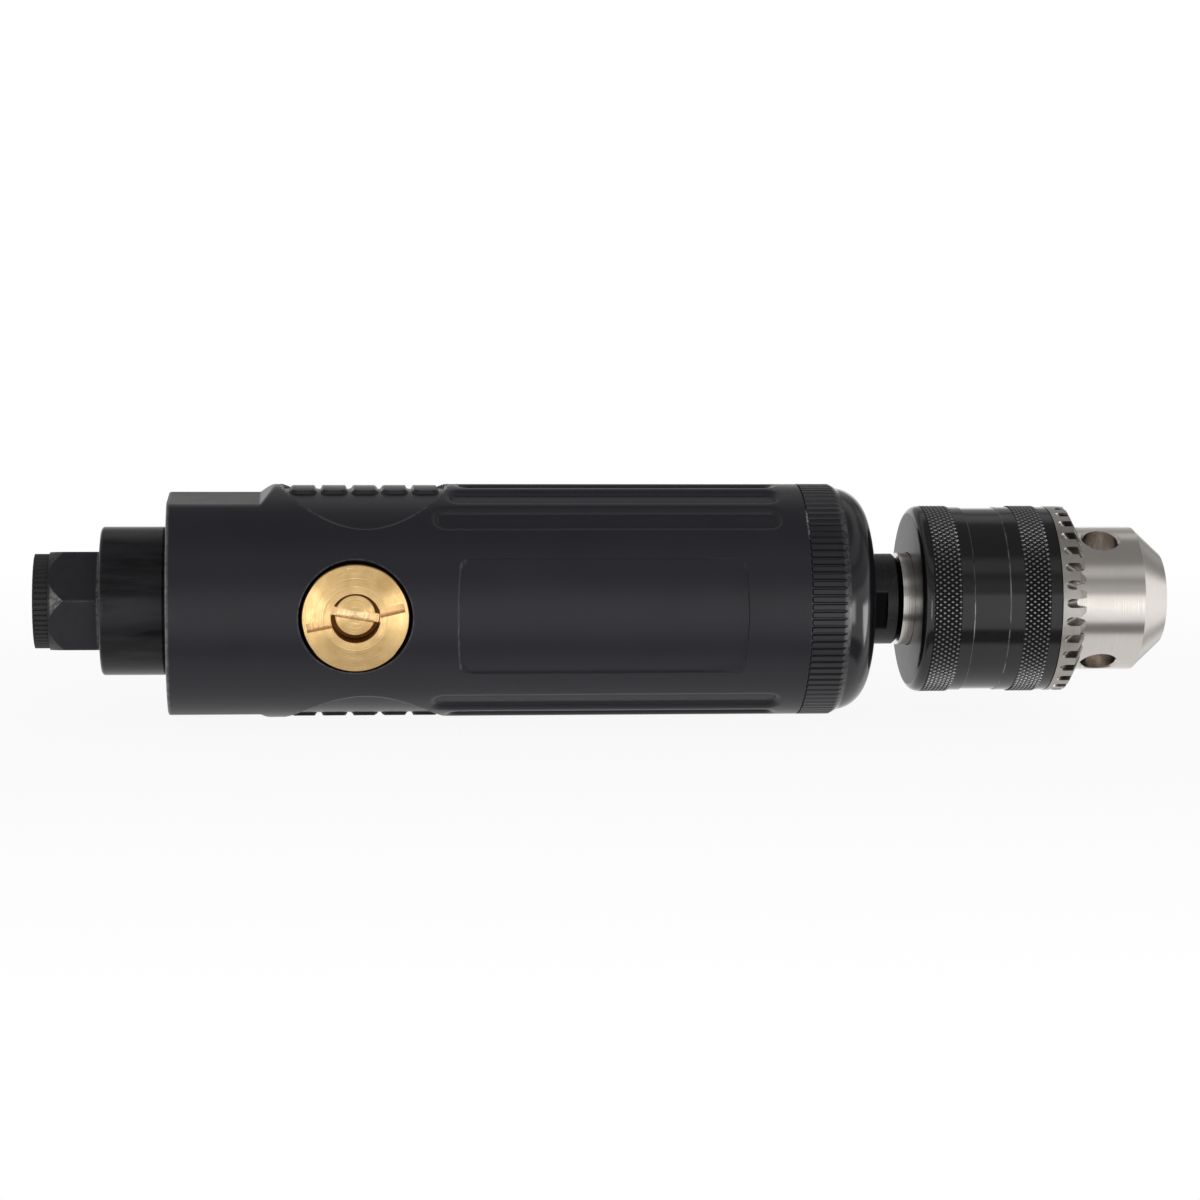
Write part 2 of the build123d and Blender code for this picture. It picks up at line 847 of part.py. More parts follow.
def make_rear_end_plate():
    plate = rod(motor_radius, plate_rear, cylinder_rear)
    plate -= rod(rear_bearing_radius, plate_rear - past, plate_rear + motor_bearing_width)
    plate -= rod(rear_shaft_radius + shaft_clearance, plate_rear, cylinder_rear + past)
    plate -= motor_flat_cut(plate_rear, cylinder_rear)
    intake = cylinder_bore + cylinder_offset - cylinder_offset / 2 - intake_radius
    for side in (1, -1):
        hole = rod(intake_radius, plate_rear - past, cylinder_rear + past, 0, intake)
        plate -= around(-90 + side * intake_spread_angle) * hole
    plate -= dowel_hole()
    return plate


def motor_flat_cut(x0, x1):
    """Cutter for the exhaust flat along the motor."""
    return block(x0 - past, x1 + past, motor_flat, motor_radius + past, -motor_radius, motor_radius)


def dowel_y():
    """Middle of the thick wall of the cylinder."""
    return -(cylinder_bore + cylinder_offset + motor_radius) / 2


def dowel_hole():
    half = dowel_length / 2 + face_gap
    return rod(dowel_radius + seat_gap, cylinder_rear - half, cylinder_rear + half, dowel_y())


def make_cylinder_dowel():
    half = dowel_length / 2
    return rod(dowel_radius, cylinder_rear - half, cylinder_rear + half, dowel_y())


def make_motor_cylinder():
    cylinder = rod(motor_radius, cylinder_rear, cylinder_front)
    cylinder -= motor_flat_cut(cylinder_rear, cylinder_front)
    cylinder -= rod(cylinder_bore, cylinder_rear - past, cylinder_front + past, -cylinder_offset)
    pitch = cylinder_length / (cylinder_slot_count + 1)
    for k in range(cylinder_slot_count):
        x = cylinder_rear + (k + 1) * pitch
        half = cylinder_slot_width / 2
        long = cylinder_slot_length / 2
        cylinder -= block(x - half, x + half, 0, motor_radius, -long, long)
    cylinder -= dowel_hole()
    return cylinder


def make_rotor():
    rear = cylinder_rear + rotor_side_gap
    front = cylinder_front - rotor_side_gap
    rotor = rod(rotor_radius, rear, front)
    slot_half = blade_thickness / 2 + blade_gap
    floor = rotor_radius - blade_height - 2 * blade_gap
    for k in range(blade_count):
        slot = block(rear - past, front + past, -slot_half, slot_half, floor, motor_radius)
        rotor -= around(360 * k / blade_count) * slot
    rotor += rod(rear_shaft_radius, plate_rear + seat_gap, rear)
    rotor += rod(front_shaft_radius, front, plate_front + face_gap)
    rotor += gear(sun_tooth_count, sun_tip, 0.0, front, planet_front)
    return rotor


def make_rotor_blades():
    rear = cylinder_rear + 2 * rotor_side_gap
    front = cylinder_front - 2 * rotor_side_gap
    floor = rotor_radius - blade_height - blade_gap
    half = blade_thickness / 2
    blade = block(rear, front, -half, half, floor, floor + blade_height)
    return Compound(children=[around(360 * k / blade_count) * blade for k in range(blade_count)])


def make_front_end_plate():
    plate = rod(motor_radius, cylinder_front, plate_front)
    plate -= rod(front_bearing_radius, plate_front - motor_bearing_width, plate_front + past)
    plate -= rod(front_shaft_radius + shaft_clearance, cylinder_front - past, plate_front)
    return plate


# Planetary gears


def involute(angle):
    return math.tan(angle) - angle


def gear_face(teeth, tip, root, play, first, x):
    """Involute outline in the plane across the axis, one tooth centred on the angle first."""
    pitch_angle = math.radians(pressure_angle)
    pitch = gear_module * teeth / 2
    base = pitch * math.cos(pitch_angle)
    half_pitch = math.pi / (2 * teeth) - play / (2 * pitch)
    low = max(root, base)
    flank = [(root, half_pitch + involute(pitch_angle))] if root < base else []
    for k in range(flank_point_count):
        radius = low + (tip - low) * k / (flank_point_count - 1)
        spread = half_pitch + involute(pitch_angle) - involute(math.acos(base / radius))
        flank.append((radius, spread))
    outline = []
    for k in range(teeth):
        middle = math.radians(first) + 2 * math.pi * k / teeth
        outline += [(radius, middle - spread) for radius, spread in flank]
        outline += [(radius, middle + spread) for radius, spread in reversed(flank)]
    points = [(x, radius * math.sin(turn), radius * math.cos(turn)) for radius, turn in outline]
    return make_face(Polyline(*points, close=True))


def gear(teeth, tip, first, x0, x1):
    """External spur gear along X."""
    root = gear_module * teeth / 2 - dedendum * gear_module
    face = gear_face(teeth, tip, root, tooth_play, first, x0)
    return extrude(face, amount=x1 - x0, dir=(1, 0, 0))


def make_ring_gear():
    ring = rod(motor_radius, plate_front, bearing_rear)
    root = ring_pitch + dedendum * gear_module
    tip = ring_pitch - addendum * gear_module
    space = gear_face(ring_tooth_count, root, tip, -tooth_play, 180 / ring_tooth_count, plate_front - past)
    return ring - extrude(space, amount=bearing_rear - plate_front + 2 * past, dir=(1, 0, 0))


def make_planet_gear(k):
    """Planet number k, with a tooth space facing the tooth of the sun."""
    tip = planet_pitch + addendum * gear_module
    wheel = gear(planet_tooth_count, tip, 180 / planet_tooth_count, planet_rear, planet_front)
    wheel -= rod(planet_pin_radius + run_gap, planet_rear - past, planet_front + past)
    return around(360 * k / planet_count) * Pos(0, 0, planet_orbit) * around(180) * wheel


def planet_pin(k, radius, x0, x1):
    return around(360 * k / planet_count) * rod(radius, x0, x1, 0, planet_orbit)


def make_planet_pins():
    pins = [planet_pin(k, planet_pin_radius, planet_rear, carrier_front) for k in range(planet_count)]
    return Compound(children=pins)


# Front cap, spindle and its seal


def make_front_cap():
    knurl_end = body_length + cap_knurl_length
    bevel_end = knurl_end + cap_bevel_length
    knurled = fluted(cap_radius, flute_depth, cap_flute_count, body_length, bevel_end)
    knurled &= turned(
        (body_length, 0),
        (body_length, cap_radius),
        (knurl_end, cap_radius),
        (bevel_end, cap_nose_radius),
        (bevel_end, 0),
    )
    dome = rod(cap_nose_radius, body_length, cap_front)
    dome = fillet(dome.edges().filter_by(GeomType.CIRCLE).sort_by(Axis.X)[-1], cap_dome)
    cap = knurled + dome + rod(cap_spigot_radius, body_length - cap_spigot, body_length)
    cap -= [
        rod(bearing_outer_radius + seat_gap, body_length - cap_spigot - past, bearing_front),
        rod(seal_radius, bearing_front - past, bearing_front + seal_length),
        rod(bearing_bore + spindle_hole_gap, bearing_front, cap_front + past),
    ]
    return cap


def make_spindle_seal():
    rear = bearing_front + seat_gap
    front = bearing_front + seal_length - seat_gap
    return tube(seal_radius - seat_gap, bearing_bore + 2 * run_gap, rear, front)


def make_spindle():
    flats_end = chuck_rear - spindle_land
    spindle = rod(carrier_radius, carrier_rear, carrier_front)
    spindle += turned(
        (carrier_rear, 0),
        (carrier_rear, bearing_bore),
        (chuck_rear - spindle_bevel, bearing_bore),
        (chuck_rear, bearing_bore - spindle_bevel),
        (chuck_rear, nose_thread_radius),
        (thread_end, nose_thread_radius),
        (thread_end, 0),
    )
    flats_start = bearing_front + seal_length + face_gap
    for side in (1, -1):
        low, high = sorted((side * spindle_flats / 2, side * carrier_radius))
        cut = block(flats_start, flats_end, -carrier_radius, carrier_radius, low, high)
        spindle -= around(spindle_flats_angle) * cut
    for k in range(planet_count):
        spindle -= planet_pin(k, planet_pin_radius, carrier_rear - past, carrier_front + past)
    return spindle


# Chuck


def jaw_angle(k):
    """Direction of jaw number k, midway between two key holes."""
    return key_hole_angle - 180 / jaw_count + 360 * k / jaw_count


def jaw_axis():
    """Plane at the tip of the closed jaw, whose Z axis runs back along its slide."""
    slope = math.radians(jaw_slant_angle)
    return Plane(
        origin=(mouth_x + jaw_overhang, 0, jaw_offset),
        x_dir=(0, 1, 0),
        z_dir=(-math.cos(slope), 0, math.sin(slope)),
    )


def jaw_hole(k):
    """Cutter for the slanted hole that guides one jaw."""
    length = (mouth_x + jaw_overhang - sleeve_rear) / math.cos(math.radians(jaw_slant_angle))
    drill = Pos(0, 0, -jaw_length) * Cylinder(jaw_radius + run_gap, length + jaw_length, align=BASE)
    hole = jaw_axis() * drill
    return around(jaw_angle(k)) * hole


def make_chuck_jaw(k):
    """Jaw number k, shaped closed and then drawn back to the open rest place."""
    slope = math.radians(jaw_slant_angle)
    tip_x = mouth_x + jaw_overhang
    pin = jaw_axis() * Pos(0, 0, -jaw_length / 4) * Cylinder(jaw_radius, jaw_length * 5 / 4, align=BASE)
    reach = 2 * chuck_radius
    spread = math.tan(math.pi / jaw_count)
    inner = jaw_land * spread - 2 * jaw_split
    outer = reach * spread - 2 * jaw_split
    wedge = Polyline((-inner, jaw_land), (inner, jaw_land), (outer, reach), (-outer, reach), close=True)
    sector = extrude(Plane.YZ * make_face(wedge), amount=tip_x, dir=(1, 0, 0))
    jaw = pin & sector
    jaw = Pos(-jaw_travel * math.cos(slope), 0, jaw_travel * math.sin(slope)) * jaw
    jaw &= rod(sleeve_bore - jaw_trim_gap, 0, tip_x)
    return around(jaw_angle(k)) * jaw


def make_chuck_body():
    step = sleeve_rear + sleeve_back + face_gap
    body = turned(
        (chuck_rear, 0),
        (chuck_rear, hub_radius),
        (step, hub_radius),
        (step, chuck_radius),
        (nut_rear - face_gap, chuck_radius),
        (nut_rear - face_gap, nut_groove_radius),
        (nut_front + face_gap, nut_groove_radius),
        (nut_front + face_gap, chuck_radius),
        (mouth_x - cone_length, chuck_radius),
        (mouth_x, mouth_face_radius),
        (mouth_x, 0),
    )
    body -= rod(nose_thread_radius + seat_gap, chuck_rear - past, thread_end + chuck_web)
    body -= rod(grip_radius, thread_end + chuck_web, mouth_x + past)
    for k in range(jaw_count):
        body -= jaw_hole(k)
        turn = key_hole_angle + 360 * k / jaw_count
        body -= around(turn) * post(key_hole_radius, key_hole_floor, chuck_radius + past, key_x)
        flare = Cone(
            key_hole_radius, key_hole_radius + 2 * key_hole_bevel, 2 * key_hole_bevel, align=BASE
        )
        body -= around(turn) * Pos(key_x, 0, chuck_radius - key_hole_bevel) * flare
    return body


def nut_bore(x):
    """Radius of the nut's tapered bore, just outside the jaws."""
    slope = math.radians(jaw_slant_angle)
    axis = jaw_offset + math.tan(slope) * (mouth_x + jaw_overhang - x)
    return axis + jaw_radius / math.cos(slope) + nut_gap


def make_chuck_nut():
    """Split nut, pressed into the sleeve in two halves."""
    nut = turned(
        (nut_rear, nut_bore(nut_rear)),
        (nut_rear, sleeve_bore - seat_gap),
        (nut_front, sleeve_bore - seat_gap),
        (nut_front, nut_bore(nut_front)),
    )
    half = nut_split / 2
    return nut - block(nut_rear - past, nut_front + past, -half, half, -sleeve_radius, sleeve_radius)


def make_chuck_sleeve():
    """Sleeve with two raised bands for the knurling and a shallow waist."""
    band = sleeve_radius
    plain = sleeve_radius - knurl_rise
    waist = plain - waist_depth
    sleeve = turned(
        (sleeve_rear, hub_radius + 3 * run_gap),
        (sleeve_rear, band),
        (sleeve_rear + sleeve_edge + knurl_rear_length, band),
        (sleeve_rear + sleeve_edge + knurl_rear_length, plain),
        (sleeve_rear + waist_start, plain),
        (sleeve_rear + waist_start, waist),
        (sleeve_rear + waist_end, waist),
        (sleeve_rear + waist_end, plain),
        (sleeve_rear + knurl_front_start, plain),
        (sleeve_rear + knurl_front_start, band),
        (sleeve_rear + knurl_front_start + knurl_front_length, band),
        (sleeve_rear + knurl_front_start + knurl_front_length, plain),
        (sleeve_front, plain),
        (sleeve_front, sleeve_bore),
        (sleeve_rear + sleeve_back, sleeve_bore),
        (sleeve_rear + sleeve_back, hub_radius + 3 * run_gap),
    )
    rear_rim = sleeve.edges().filter_by(GeomType.CIRCLE).group_by(Axis.X)[0].sort_by(SortBy.RADIUS)[-1]
    return fillet(rear_rim, sleeve_edge)


def make_chuck_gear_ring():
    """Bevelled ring with rounded gullets for the chuck key."""
    bore = chuck_radius + 2 * run_gap
    land_end = sleeve_front + gear_ring_land
    ring = turned(
        (sleeve_front - gear_ring_spigot, bore),
        (sleeve_front - gear_ring_spigot, sleeve_bore - seat_gap),
        (sleeve_front, sleeve_bore - seat_gap),
        (sleeve_front, gear_ring_radius),
        (land_end, gear_ring_radius),
        (ring_front, bore + 2 * face_gap),
        (ring_front, bore),
    )
    start = Vector(sleeve_front + gullet_start, 0, gear_ring_radius)
    end = Vector(sleeve_front + gullet_end, 0, bore)
    heading = (end - start).normalized()
    length = (end - start).length + 2 * past
    gullet = Cylinder(gullet_radius, length, align=BASE)
    gullet += Pos(0, gear_ring_radius / 2, length / 2) * Box(2 * gullet_radius, gear_ring_radius, length)
    gullet = Plane(origin=start - heading * past, x_dir=(0, 1, 0), z_dir=heading) * gullet
    pitch = 360 / gear_ring_tooth_count
    ring -= [around((k + 0.5) * pitch) * gullet for k in range(gear_ring_tooth_count)]
    return ring


def save(name, shape):
    """Lay one piece on its side in the shared frame and write it."""
    export_step(Pos(-mouth_x, 0, 0) * Rot(90, 0, 0) * shape, f"parts/{name}.step")


os.makedirs("parts", exist_ok=True)

pieces = {
    "grip_housing": make_housing(),
    "inlet_bushing": make_inlet_bushing(),
    "inlet_screen": make_inlet_screen(),
    "inlet_dust_plug": make_dust_plug(),
    "exhaust_deflector": make_deflector(),
    "exhaust_muffler": make_muffler(),
    "deflector_seal": make_deflector_seal(),
    "regulator_plug": make_regulator_plug(),
    "plug_seal": make_plug_seal(),
    "regulator_screw": make_regulator_screw(),
    "screw_seal": make_screw_seal(),
    "regulator_sleeve": make_regulator_sleeve(),
    "throttle_valve": make_throttle_valve(),
    "valve_guide": make_valve_guide(),
    "guide_seal": make_guide_seal(),
    "valve_spring": make_valve_spring(),
    "throttle_lever": make_throttle_lever(),
    "lever_pin": make_lever_pin(),
    "rear_end_plate": make_rear_end_plate(),
    "motor_cylinder": make_motor_cylinder(),
    "cylinder_dowel": make_cylinder_dowel(),
    "rotor": make_rotor(),
    "rotor_blades": make_rotor_blades(),
    "front_end_plate": make_front_end_plate(),
    "ring_gear": make_ring_gear(),
    "planet_pins": make_planet_pins(),
    "spindle": make_spindle(),
    "front_cap": make_front_cap(),
    "spindle_seal": make_spindle_seal(),
    "chuck_body": make_chuck_body(),
    "chuck_nut": make_chuck_nut(),
    "chuck_sleeve": make_chuck_sleeve(),
    "chuck_gear_ring": make_chuck_gear_ring(),
}
for number in range(planet_count):
    pieces[f"planet_gear_{number + 1}"] = make_planet_gear(number)
for number in range(jaw_count):
    pieces[f"chuck_jaw_{number + 1}"] = make_chuck_jaw(number)

bearings = {
    "rear_bearing": (rear_shaft_radius, rear_bearing_radius, motor_bearing_width, plate_rear),
    "front_bearing": (
        front_shaft_radius,
        front_bearing_radius,
        motor_bearing_width,
        plate_front - motor_bearing_width,
    ),
    "spindle_bearing": (bearing_bore, bearing_outer_radius, bearing_width, bearing_rear),
}
for name, sizes in bearings.items():
    outer_race, inner_race, balls = make_bearing(*sizes)
    pieces[f"{name}_outer"] = outer_race
    pieces[f"{name}_inner"] = inner_race
    pieces[f"{name}_balls"] = balls

for name, shape in pieces.items():
    save(name, shape)
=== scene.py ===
import bmesh
import bpy
import math
import numpy as np
from mathutils import Matrix, Vector


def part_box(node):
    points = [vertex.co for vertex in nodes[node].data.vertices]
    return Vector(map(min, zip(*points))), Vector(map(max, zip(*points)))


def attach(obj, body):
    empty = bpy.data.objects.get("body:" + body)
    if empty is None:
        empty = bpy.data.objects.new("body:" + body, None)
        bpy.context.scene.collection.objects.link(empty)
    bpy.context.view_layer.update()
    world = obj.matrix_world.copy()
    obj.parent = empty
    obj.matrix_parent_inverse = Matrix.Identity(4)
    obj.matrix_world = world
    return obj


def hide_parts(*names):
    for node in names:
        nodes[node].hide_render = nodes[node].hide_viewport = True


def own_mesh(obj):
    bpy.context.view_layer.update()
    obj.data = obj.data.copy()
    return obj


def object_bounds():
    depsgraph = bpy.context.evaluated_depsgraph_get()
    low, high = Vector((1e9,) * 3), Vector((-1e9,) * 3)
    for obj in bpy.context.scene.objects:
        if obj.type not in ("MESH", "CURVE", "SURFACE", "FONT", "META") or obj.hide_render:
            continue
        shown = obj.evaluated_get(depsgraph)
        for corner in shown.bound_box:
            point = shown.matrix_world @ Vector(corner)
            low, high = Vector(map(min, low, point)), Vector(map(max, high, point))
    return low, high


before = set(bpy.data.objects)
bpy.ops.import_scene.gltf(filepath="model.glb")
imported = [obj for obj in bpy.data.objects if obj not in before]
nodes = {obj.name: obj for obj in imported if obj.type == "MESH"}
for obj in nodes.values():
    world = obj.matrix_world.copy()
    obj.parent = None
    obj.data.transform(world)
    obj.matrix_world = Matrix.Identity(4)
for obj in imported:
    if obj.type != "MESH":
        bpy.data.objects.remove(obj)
cad_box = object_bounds()


# Grip housing. A cast aluminium body with a matt charcoal coat. Grooves, round side fields and the label
# panel are cast in, the two rear flats are milled, and the valve bore is drilled from the regulator side.
# Sizes are millimetres, and x counts forward from the rear face. The frame's origin is the chuck's mouth.

MM = 0.001
mouth_x = 186.2
body_radius = 21.6
body_length = 117.0
top_flat = 19.15
bottom_flat = 20.1
flat_end = 16.9
field_x = 36.0
field_radius = 15.0
valve_x = 34.0
plug_hole_radius = 10.3
pivot_x = 9.0
pivot_height = -23.75
smooth_angle = math.radians(32)


class Tone:
    """One socket of a node tree. Arithmetic on it adds Math nodes to that tree."""

    def __init__(self, tree, socket=None):
        self.tree = tree
        self.socket = socket

    def node(self, kind, settings, sockets, output=0):
        """Any node, from its type, its settings and the values or links of its sockets."""
        added = self.tree.nodes.new(kind)
        for key, value in settings.items():
            if key == "stops":
                ramp = added.color_ramp
                while len(ramp.elements) < len(value):
                    ramp.elements.new(1.0)
                for element, (place, colour) in zip(ramp.elements, value):
                    element.position = place
                    element.color = (*colour, 1.0)
            else:
                setattr(added, key, value)
        for key, value in sockets.items():
            if isinstance(value, Tone):
                self.tree.links.new(value.socket, added.inputs[key])
            else:
                added.inputs[key].default_value = value
        return Tone(self.tree, added.outputs[output])

    def maths(self, operation, *others, clamp=False):
        values = dict(enumerate((self, *others)))
        return self.node("ShaderNodeMath", {"operation": operation, "use_clamp": clamp}, values)

    def __add__(self, other):
        return self.maths("ADD", other)

    __radd__ = __add__

    def __mul__(self, other):
        return self.maths("MULTIPLY", other)

    __rmul__ = __mul__

    def __sub__(self, other):
        return self.maths("SUBTRACT", other)

    def __rsub__(self, other):
        return self.maths("MULTIPLY_ADD", -1.0, other)

    def __truediv__(self, other):
        return self.maths("DIVIDE", other)

    def __abs__(self):
        return self.maths("ABSOLUTE")

    def clamped(self):
        return self.maths("ADD", 0.0, clamp=True)

    def across(self, other):
        """Distance from an axis, out of the two coordinates across it."""
        return (self * self + other * other).maths("SQRT")

    def above(self, place, reach):
        """0 up to the place, rising to 1 a reach further on."""
        return ((self - place) / reach).clamped()

    def near(self, place, reach):
        """1 where this value is at the place, falling to 0 a reach away."""
        return (1.0 - abs(self - place) / reach).clamped()


class Finish:
    """A Principled material and the parts of it that vary over the surface."""

    def __init__(self, name, **constants):
        self.material = bpy.data.materials.new(name)
        self.material.use_nodes = True
        self.tree = self.material.node_tree
        self.shader = self.tree.nodes["Principled BSDF"]
        for key, value in constants.items():
            label = key.replace("_", " ").title().replace("Ior", "IOR")
            self.shader.inputs[label].default_value = value
        self.place = self.node("ShaderNodeTexCoord", {}, {}, "Object")

    def node(self, kind, settings, sockets, output=0):
        return Tone(self.tree).node(kind, settings, sockets, output)

    def axes(self):
        """The three object coordinates, in millimetres counted as in the drawing of the drill."""
        split = [self.node("ShaderNodeSeparateXYZ", {}, {0: self.place}, k) for k in range(3)]
        return split[0] / MM + mouth_x, split[1] / MM, split[2] / MM

    def noise(self, grain_mm, detail=2.0, roughness=0.5, stretch=(1, 1, 1)):
        """Cloudy noise around 0.5 with grains of that size."""
        scale = tuple(k / (grain_mm * MM) for k in stretch)
        spread = self.node("ShaderNodeMapping", {}, {"Vector": self.place, "Scale": scale})
        sockets = {"Vector": spread, "Scale": 1.0, "Detail": detail, "Roughness": roughness}
        return self.node("ShaderNodeTexNoise", {}, sockets)

    def tool_marks(self, along, marks_per_mm, detail):
        """Noise that varies only along one coordinate, as a lathe tool leaves it."""
        sockets = {"W": along * marks_per_mm, "Scale": 1.0, "Detail": detail}
        return self.node("ShaderNodeTexNoise", {"noise_dimensions": "1D"}, sockets)

    def mix(self, share, first, second):
        """Colour between two others."""
        sockets = {0: share, 6: self.colour(first), 7: self.colour(second)}
        return self.node("ShaderNodeMix", {"data_type": "RGBA"}, sockets, 2)

    def colour(self, value):
        return value if isinstance(value, Tone) else (*value, 1.0)

    def feed(self, name, tone):
        self.tree.links.new(tone.socket, self.shader.inputs[name])

    def bump(self, height, depth_mm, strength=1.0):
        sockets = {"Height": height, "Distance": depth_mm * MM, "Strength": strength}
        self.feed("Normal", self.node("ShaderNodeBump", {}, sockets))


def make_mesh(name, points, faces):
    """Closed mesh object in the shared frame, from points in metres."""
    mesh = bpy.data.meshes.new(name)
    mesh.from_pydata(points, [], faces)
    build = bmesh.new()
    build.from_mesh(mesh)
    bmesh.ops.remove_doubles(build, verts=build.verts, dist=1e-7)
    loose = [edge for edge in build.edges if not edge.link_faces]
    bmesh.ops.delete(build, geom=loose, context="EDGES")
    bmesh.ops.recalc_face_normals(build, faces=build.faces)
    build.to_mesh(mesh)
    build.free()
    mesh.polygons.foreach_set("use_smooth", [True] * len(mesh.polygons))
    mesh.set_sharp_from_angle(angle=smooth_angle)
    piece = bpy.data.objects.new(name, mesh)
    bpy.context.scene.collection.objects.link(piece)
    return piece


def axial(x, radius, angle):
    """Point on the drill: along the axis, out from it, and round it from the regulator upwards."""
    return ((x - mouth_x) * MM, -radius * math.cos(angle) * MM, radius * math.sin(angle) * MM)


def upright(height, radius, angle):
    """Point on the valve: up its axis, out from it, and round it."""
    x = valve_x - mouth_x + radius * math.cos(angle)
    return (x * MM, -height * MM, radius * math.sin(angle) * MM)


def crosswise(along, radius, angle):
    """Point on the lever pin: along it, out from it, and round it."""
    x = pivot_x - mouth_x + radius * math.cos(angle)
    return (x * MM, -(pivot_height + radius * math.sin(angle)) * MM, along * MM)


def band_faces(rows, columns, closed):
    """Quads between neighbouring rings of a grid."""
    faces = []
    for i in range(rows if closed else rows - 1):
        for j in range(columns):
            k = (j + 1) % columns
            below = (i + 1) % rows
            faces.append((i * columns + j, i * columns + k, below * columns + k, below * columns + j))
    return faces


def turned_piece(name, profile, place, segments=128):
    """Closed ring swept from a profile of (along, radius) points."""
    angles = [2 * math.pi * k / segments for k in range(segments)]
    points = [place(along, radius, a) for along, radius in profile for a in angles]
    return make_mesh(name, points, band_faces(len(profile), segments, True))


def cut(piece, tool, operation="DIFFERENCE"):
    """Apply a boolean with another object and drop that object."""
    step = piece.modifiers.new("cut", "BOOLEAN")
    step.object = tool
    step.operation = operation
    step.solver = "EXACT"
    graph = bpy.context.evaluated_depsgraph_get()
    mesh = bpy.data.meshes.new_from_object(piece.evaluated_get(graph))
    build = bmesh.new()
    build.from_mesh(mesh)
    bmesh.ops.dissolve_degenerate(build, dist=1e-6, edges=build.edges)
    build.to_mesh(mesh)
    build.free()
    piece.modifiers.clear()
    piece.data = mesh
    bpy.data.objects.remove(tool)


def steps(*runs):
    """Grid stations from runs of (start, end, spacing)."""
    stations = []
    for start, end, spacing in runs:
        count = max(1, round((end - start) / spacing))
        stations += [start + (end - start) * k / count for k in range(count)]
    return np.array(stations + [runs[-1][1]])


def ease(low, high, value):
    """0 below the low value and 1 above the high one, with a smooth rise between them."""
    share = np.clip((value - low) / (high - low), 0.0, 1.0)
    return share * share * (3 - 2 * share)


def soft_min(first, second, blend):
    """The lower of two heights, rounded where they meet."""
    share = np.clip(0.5 + 0.5 * (second - first) / blend, 0.0, 1.0)
    return second * (1 - share) + first * share - blend * share * (1 - share)


def rounded_box(across, along, half_across, half_along, corner):
    """Signed distance to a rectangle with round corners."""
    a = np.abs(across) - half_across + corner
    b = np.abs(along) - half_along + corner
    return np.hypot(np.maximum(a, 0), np.maximum(b, 0)) + np.minimum(np.maximum(a, b), 0) - corner


def with_flat_and_field(radius, x, angle, side, flat):
    """One side with its milled flat, and the round field in front of it with raised pads."""
    flat_blend, least_lift = 0.5, 0.05
    floor_radius, floor_shift, field_lip = 23.7, -3.0, 0.3
    pad_count, pad_pitch, pad_top = 5, 5.58, 21.4
    pad_half_length, pad_half_width, pad_corner = 2.35, 4.2, 1.0
    pad_shoulder = (-0.25, 0.1)
    on_side = side * np.sin(angle) > 0
    lift = np.maximum(side * np.sin(angle), least_lift)
    plane = (flat + np.maximum(x - flat_end, 0)) / lift
    radius = soft_min(radius, plane, flat_blend)
    height = radius * np.cos(angle)
    floor = floor_shift * lift + np.sqrt(floor_radius**2 - (floor_shift * np.cos(angle)) ** 2)
    from_middle = np.hypot(x - field_x, height)
    inside = (1 - ease(field_radius, field_radius + field_lip, from_middle)) * on_side
    radius = radius + (np.minimum(floor, radius) - radius) * inside
    for k in range(pad_count):
        along = x - field_x - (k - pad_count // 2) * pad_pitch
        pad = rounded_box(along, height, pad_half_length, pad_half_width, pad_corner)
        raised = (1 - ease(*pad_shoulder, pad)) * on_side
        radius = radius + (pad_top - radius) * raised
    return radius


def with_grooves(radius, x, angle, side):
    """One side with its five long grooves, which have a flat floor and round lips."""
    groove_depth, lip_width = 0.9, 1.6
    floor_half_width, floor_corner = 1.8, 1.4
    groove_turn, groove_rear, groove_front = 18.7, 52.3, 113.0
    rear_slant, rear_bow = 1.5, 0.47
    lip_radius = (groove_depth**2 + lip_width**2) / (2 * groove_depth)
    for k in range(-2, 3):
        middle = math.radians(side * (90 + groove_turn * k))
        around = body_radius * (np.mod(angle - middle + math.pi, 2 * math.pi) - math.pi)
        rear = groove_rear - rear_slant * abs(k) - rear_bow * k**2 + lip_width
        front = groove_front - lip_width
        along = x - (rear + front) / 2
        floor = rounded_box(along, around, (front - rear) / 2, floor_half_width, floor_corner)
        below = lip_width - np.clip(floor, 0.0, lip_width)
        lip = np.sqrt(lip_radius**2 - below**2) - lip_radius
        radius = np.minimum(radius, body_radius + lip)
    return radius


def with_panel(radius, x, angle):
    """The sunk label panel, with bowed ends."""
    panel_x, half_length, half_width, corner = 78.9, 25.8, 11.06, 2.0
    depth, bow = 0.4, 0.6
    shoulder = (-0.15, 0.1)
    around = body_radius * angle
    bowed = half_length + bow * (1 - np.minimum(np.abs(around) / half_width, 1) ** 2)
    panel = rounded_box(x - panel_x, around, bowed, half_width, corner)
    return radius - depth * (1 - ease(*shoulder, panel))


def housing_radius(x, angle):
    """Height of the cast surface over the axis."""
    rear_round, front_step, front_run = 0.6, 0.25, 0.3
    radius = np.full(np.broadcast(x, angle).shape, body_radius)
    corner = np.clip(rear_round - x, 0, rear_round)
    radius = radius - (rear_round - np.sqrt(rear_round**2 - corner**2))
    radius = radius - front_step * ease(body_length - front_run, body_length, x)
    for side, flat in ((1, top_flat), (-1, bottom_flat)):
        radius = with_flat_and_field(radius, x, angle, side, flat)
    for side in (1, -1):
        radius = with_grooves(radius, x, angle, side)
    return with_panel(radius, x, angle)


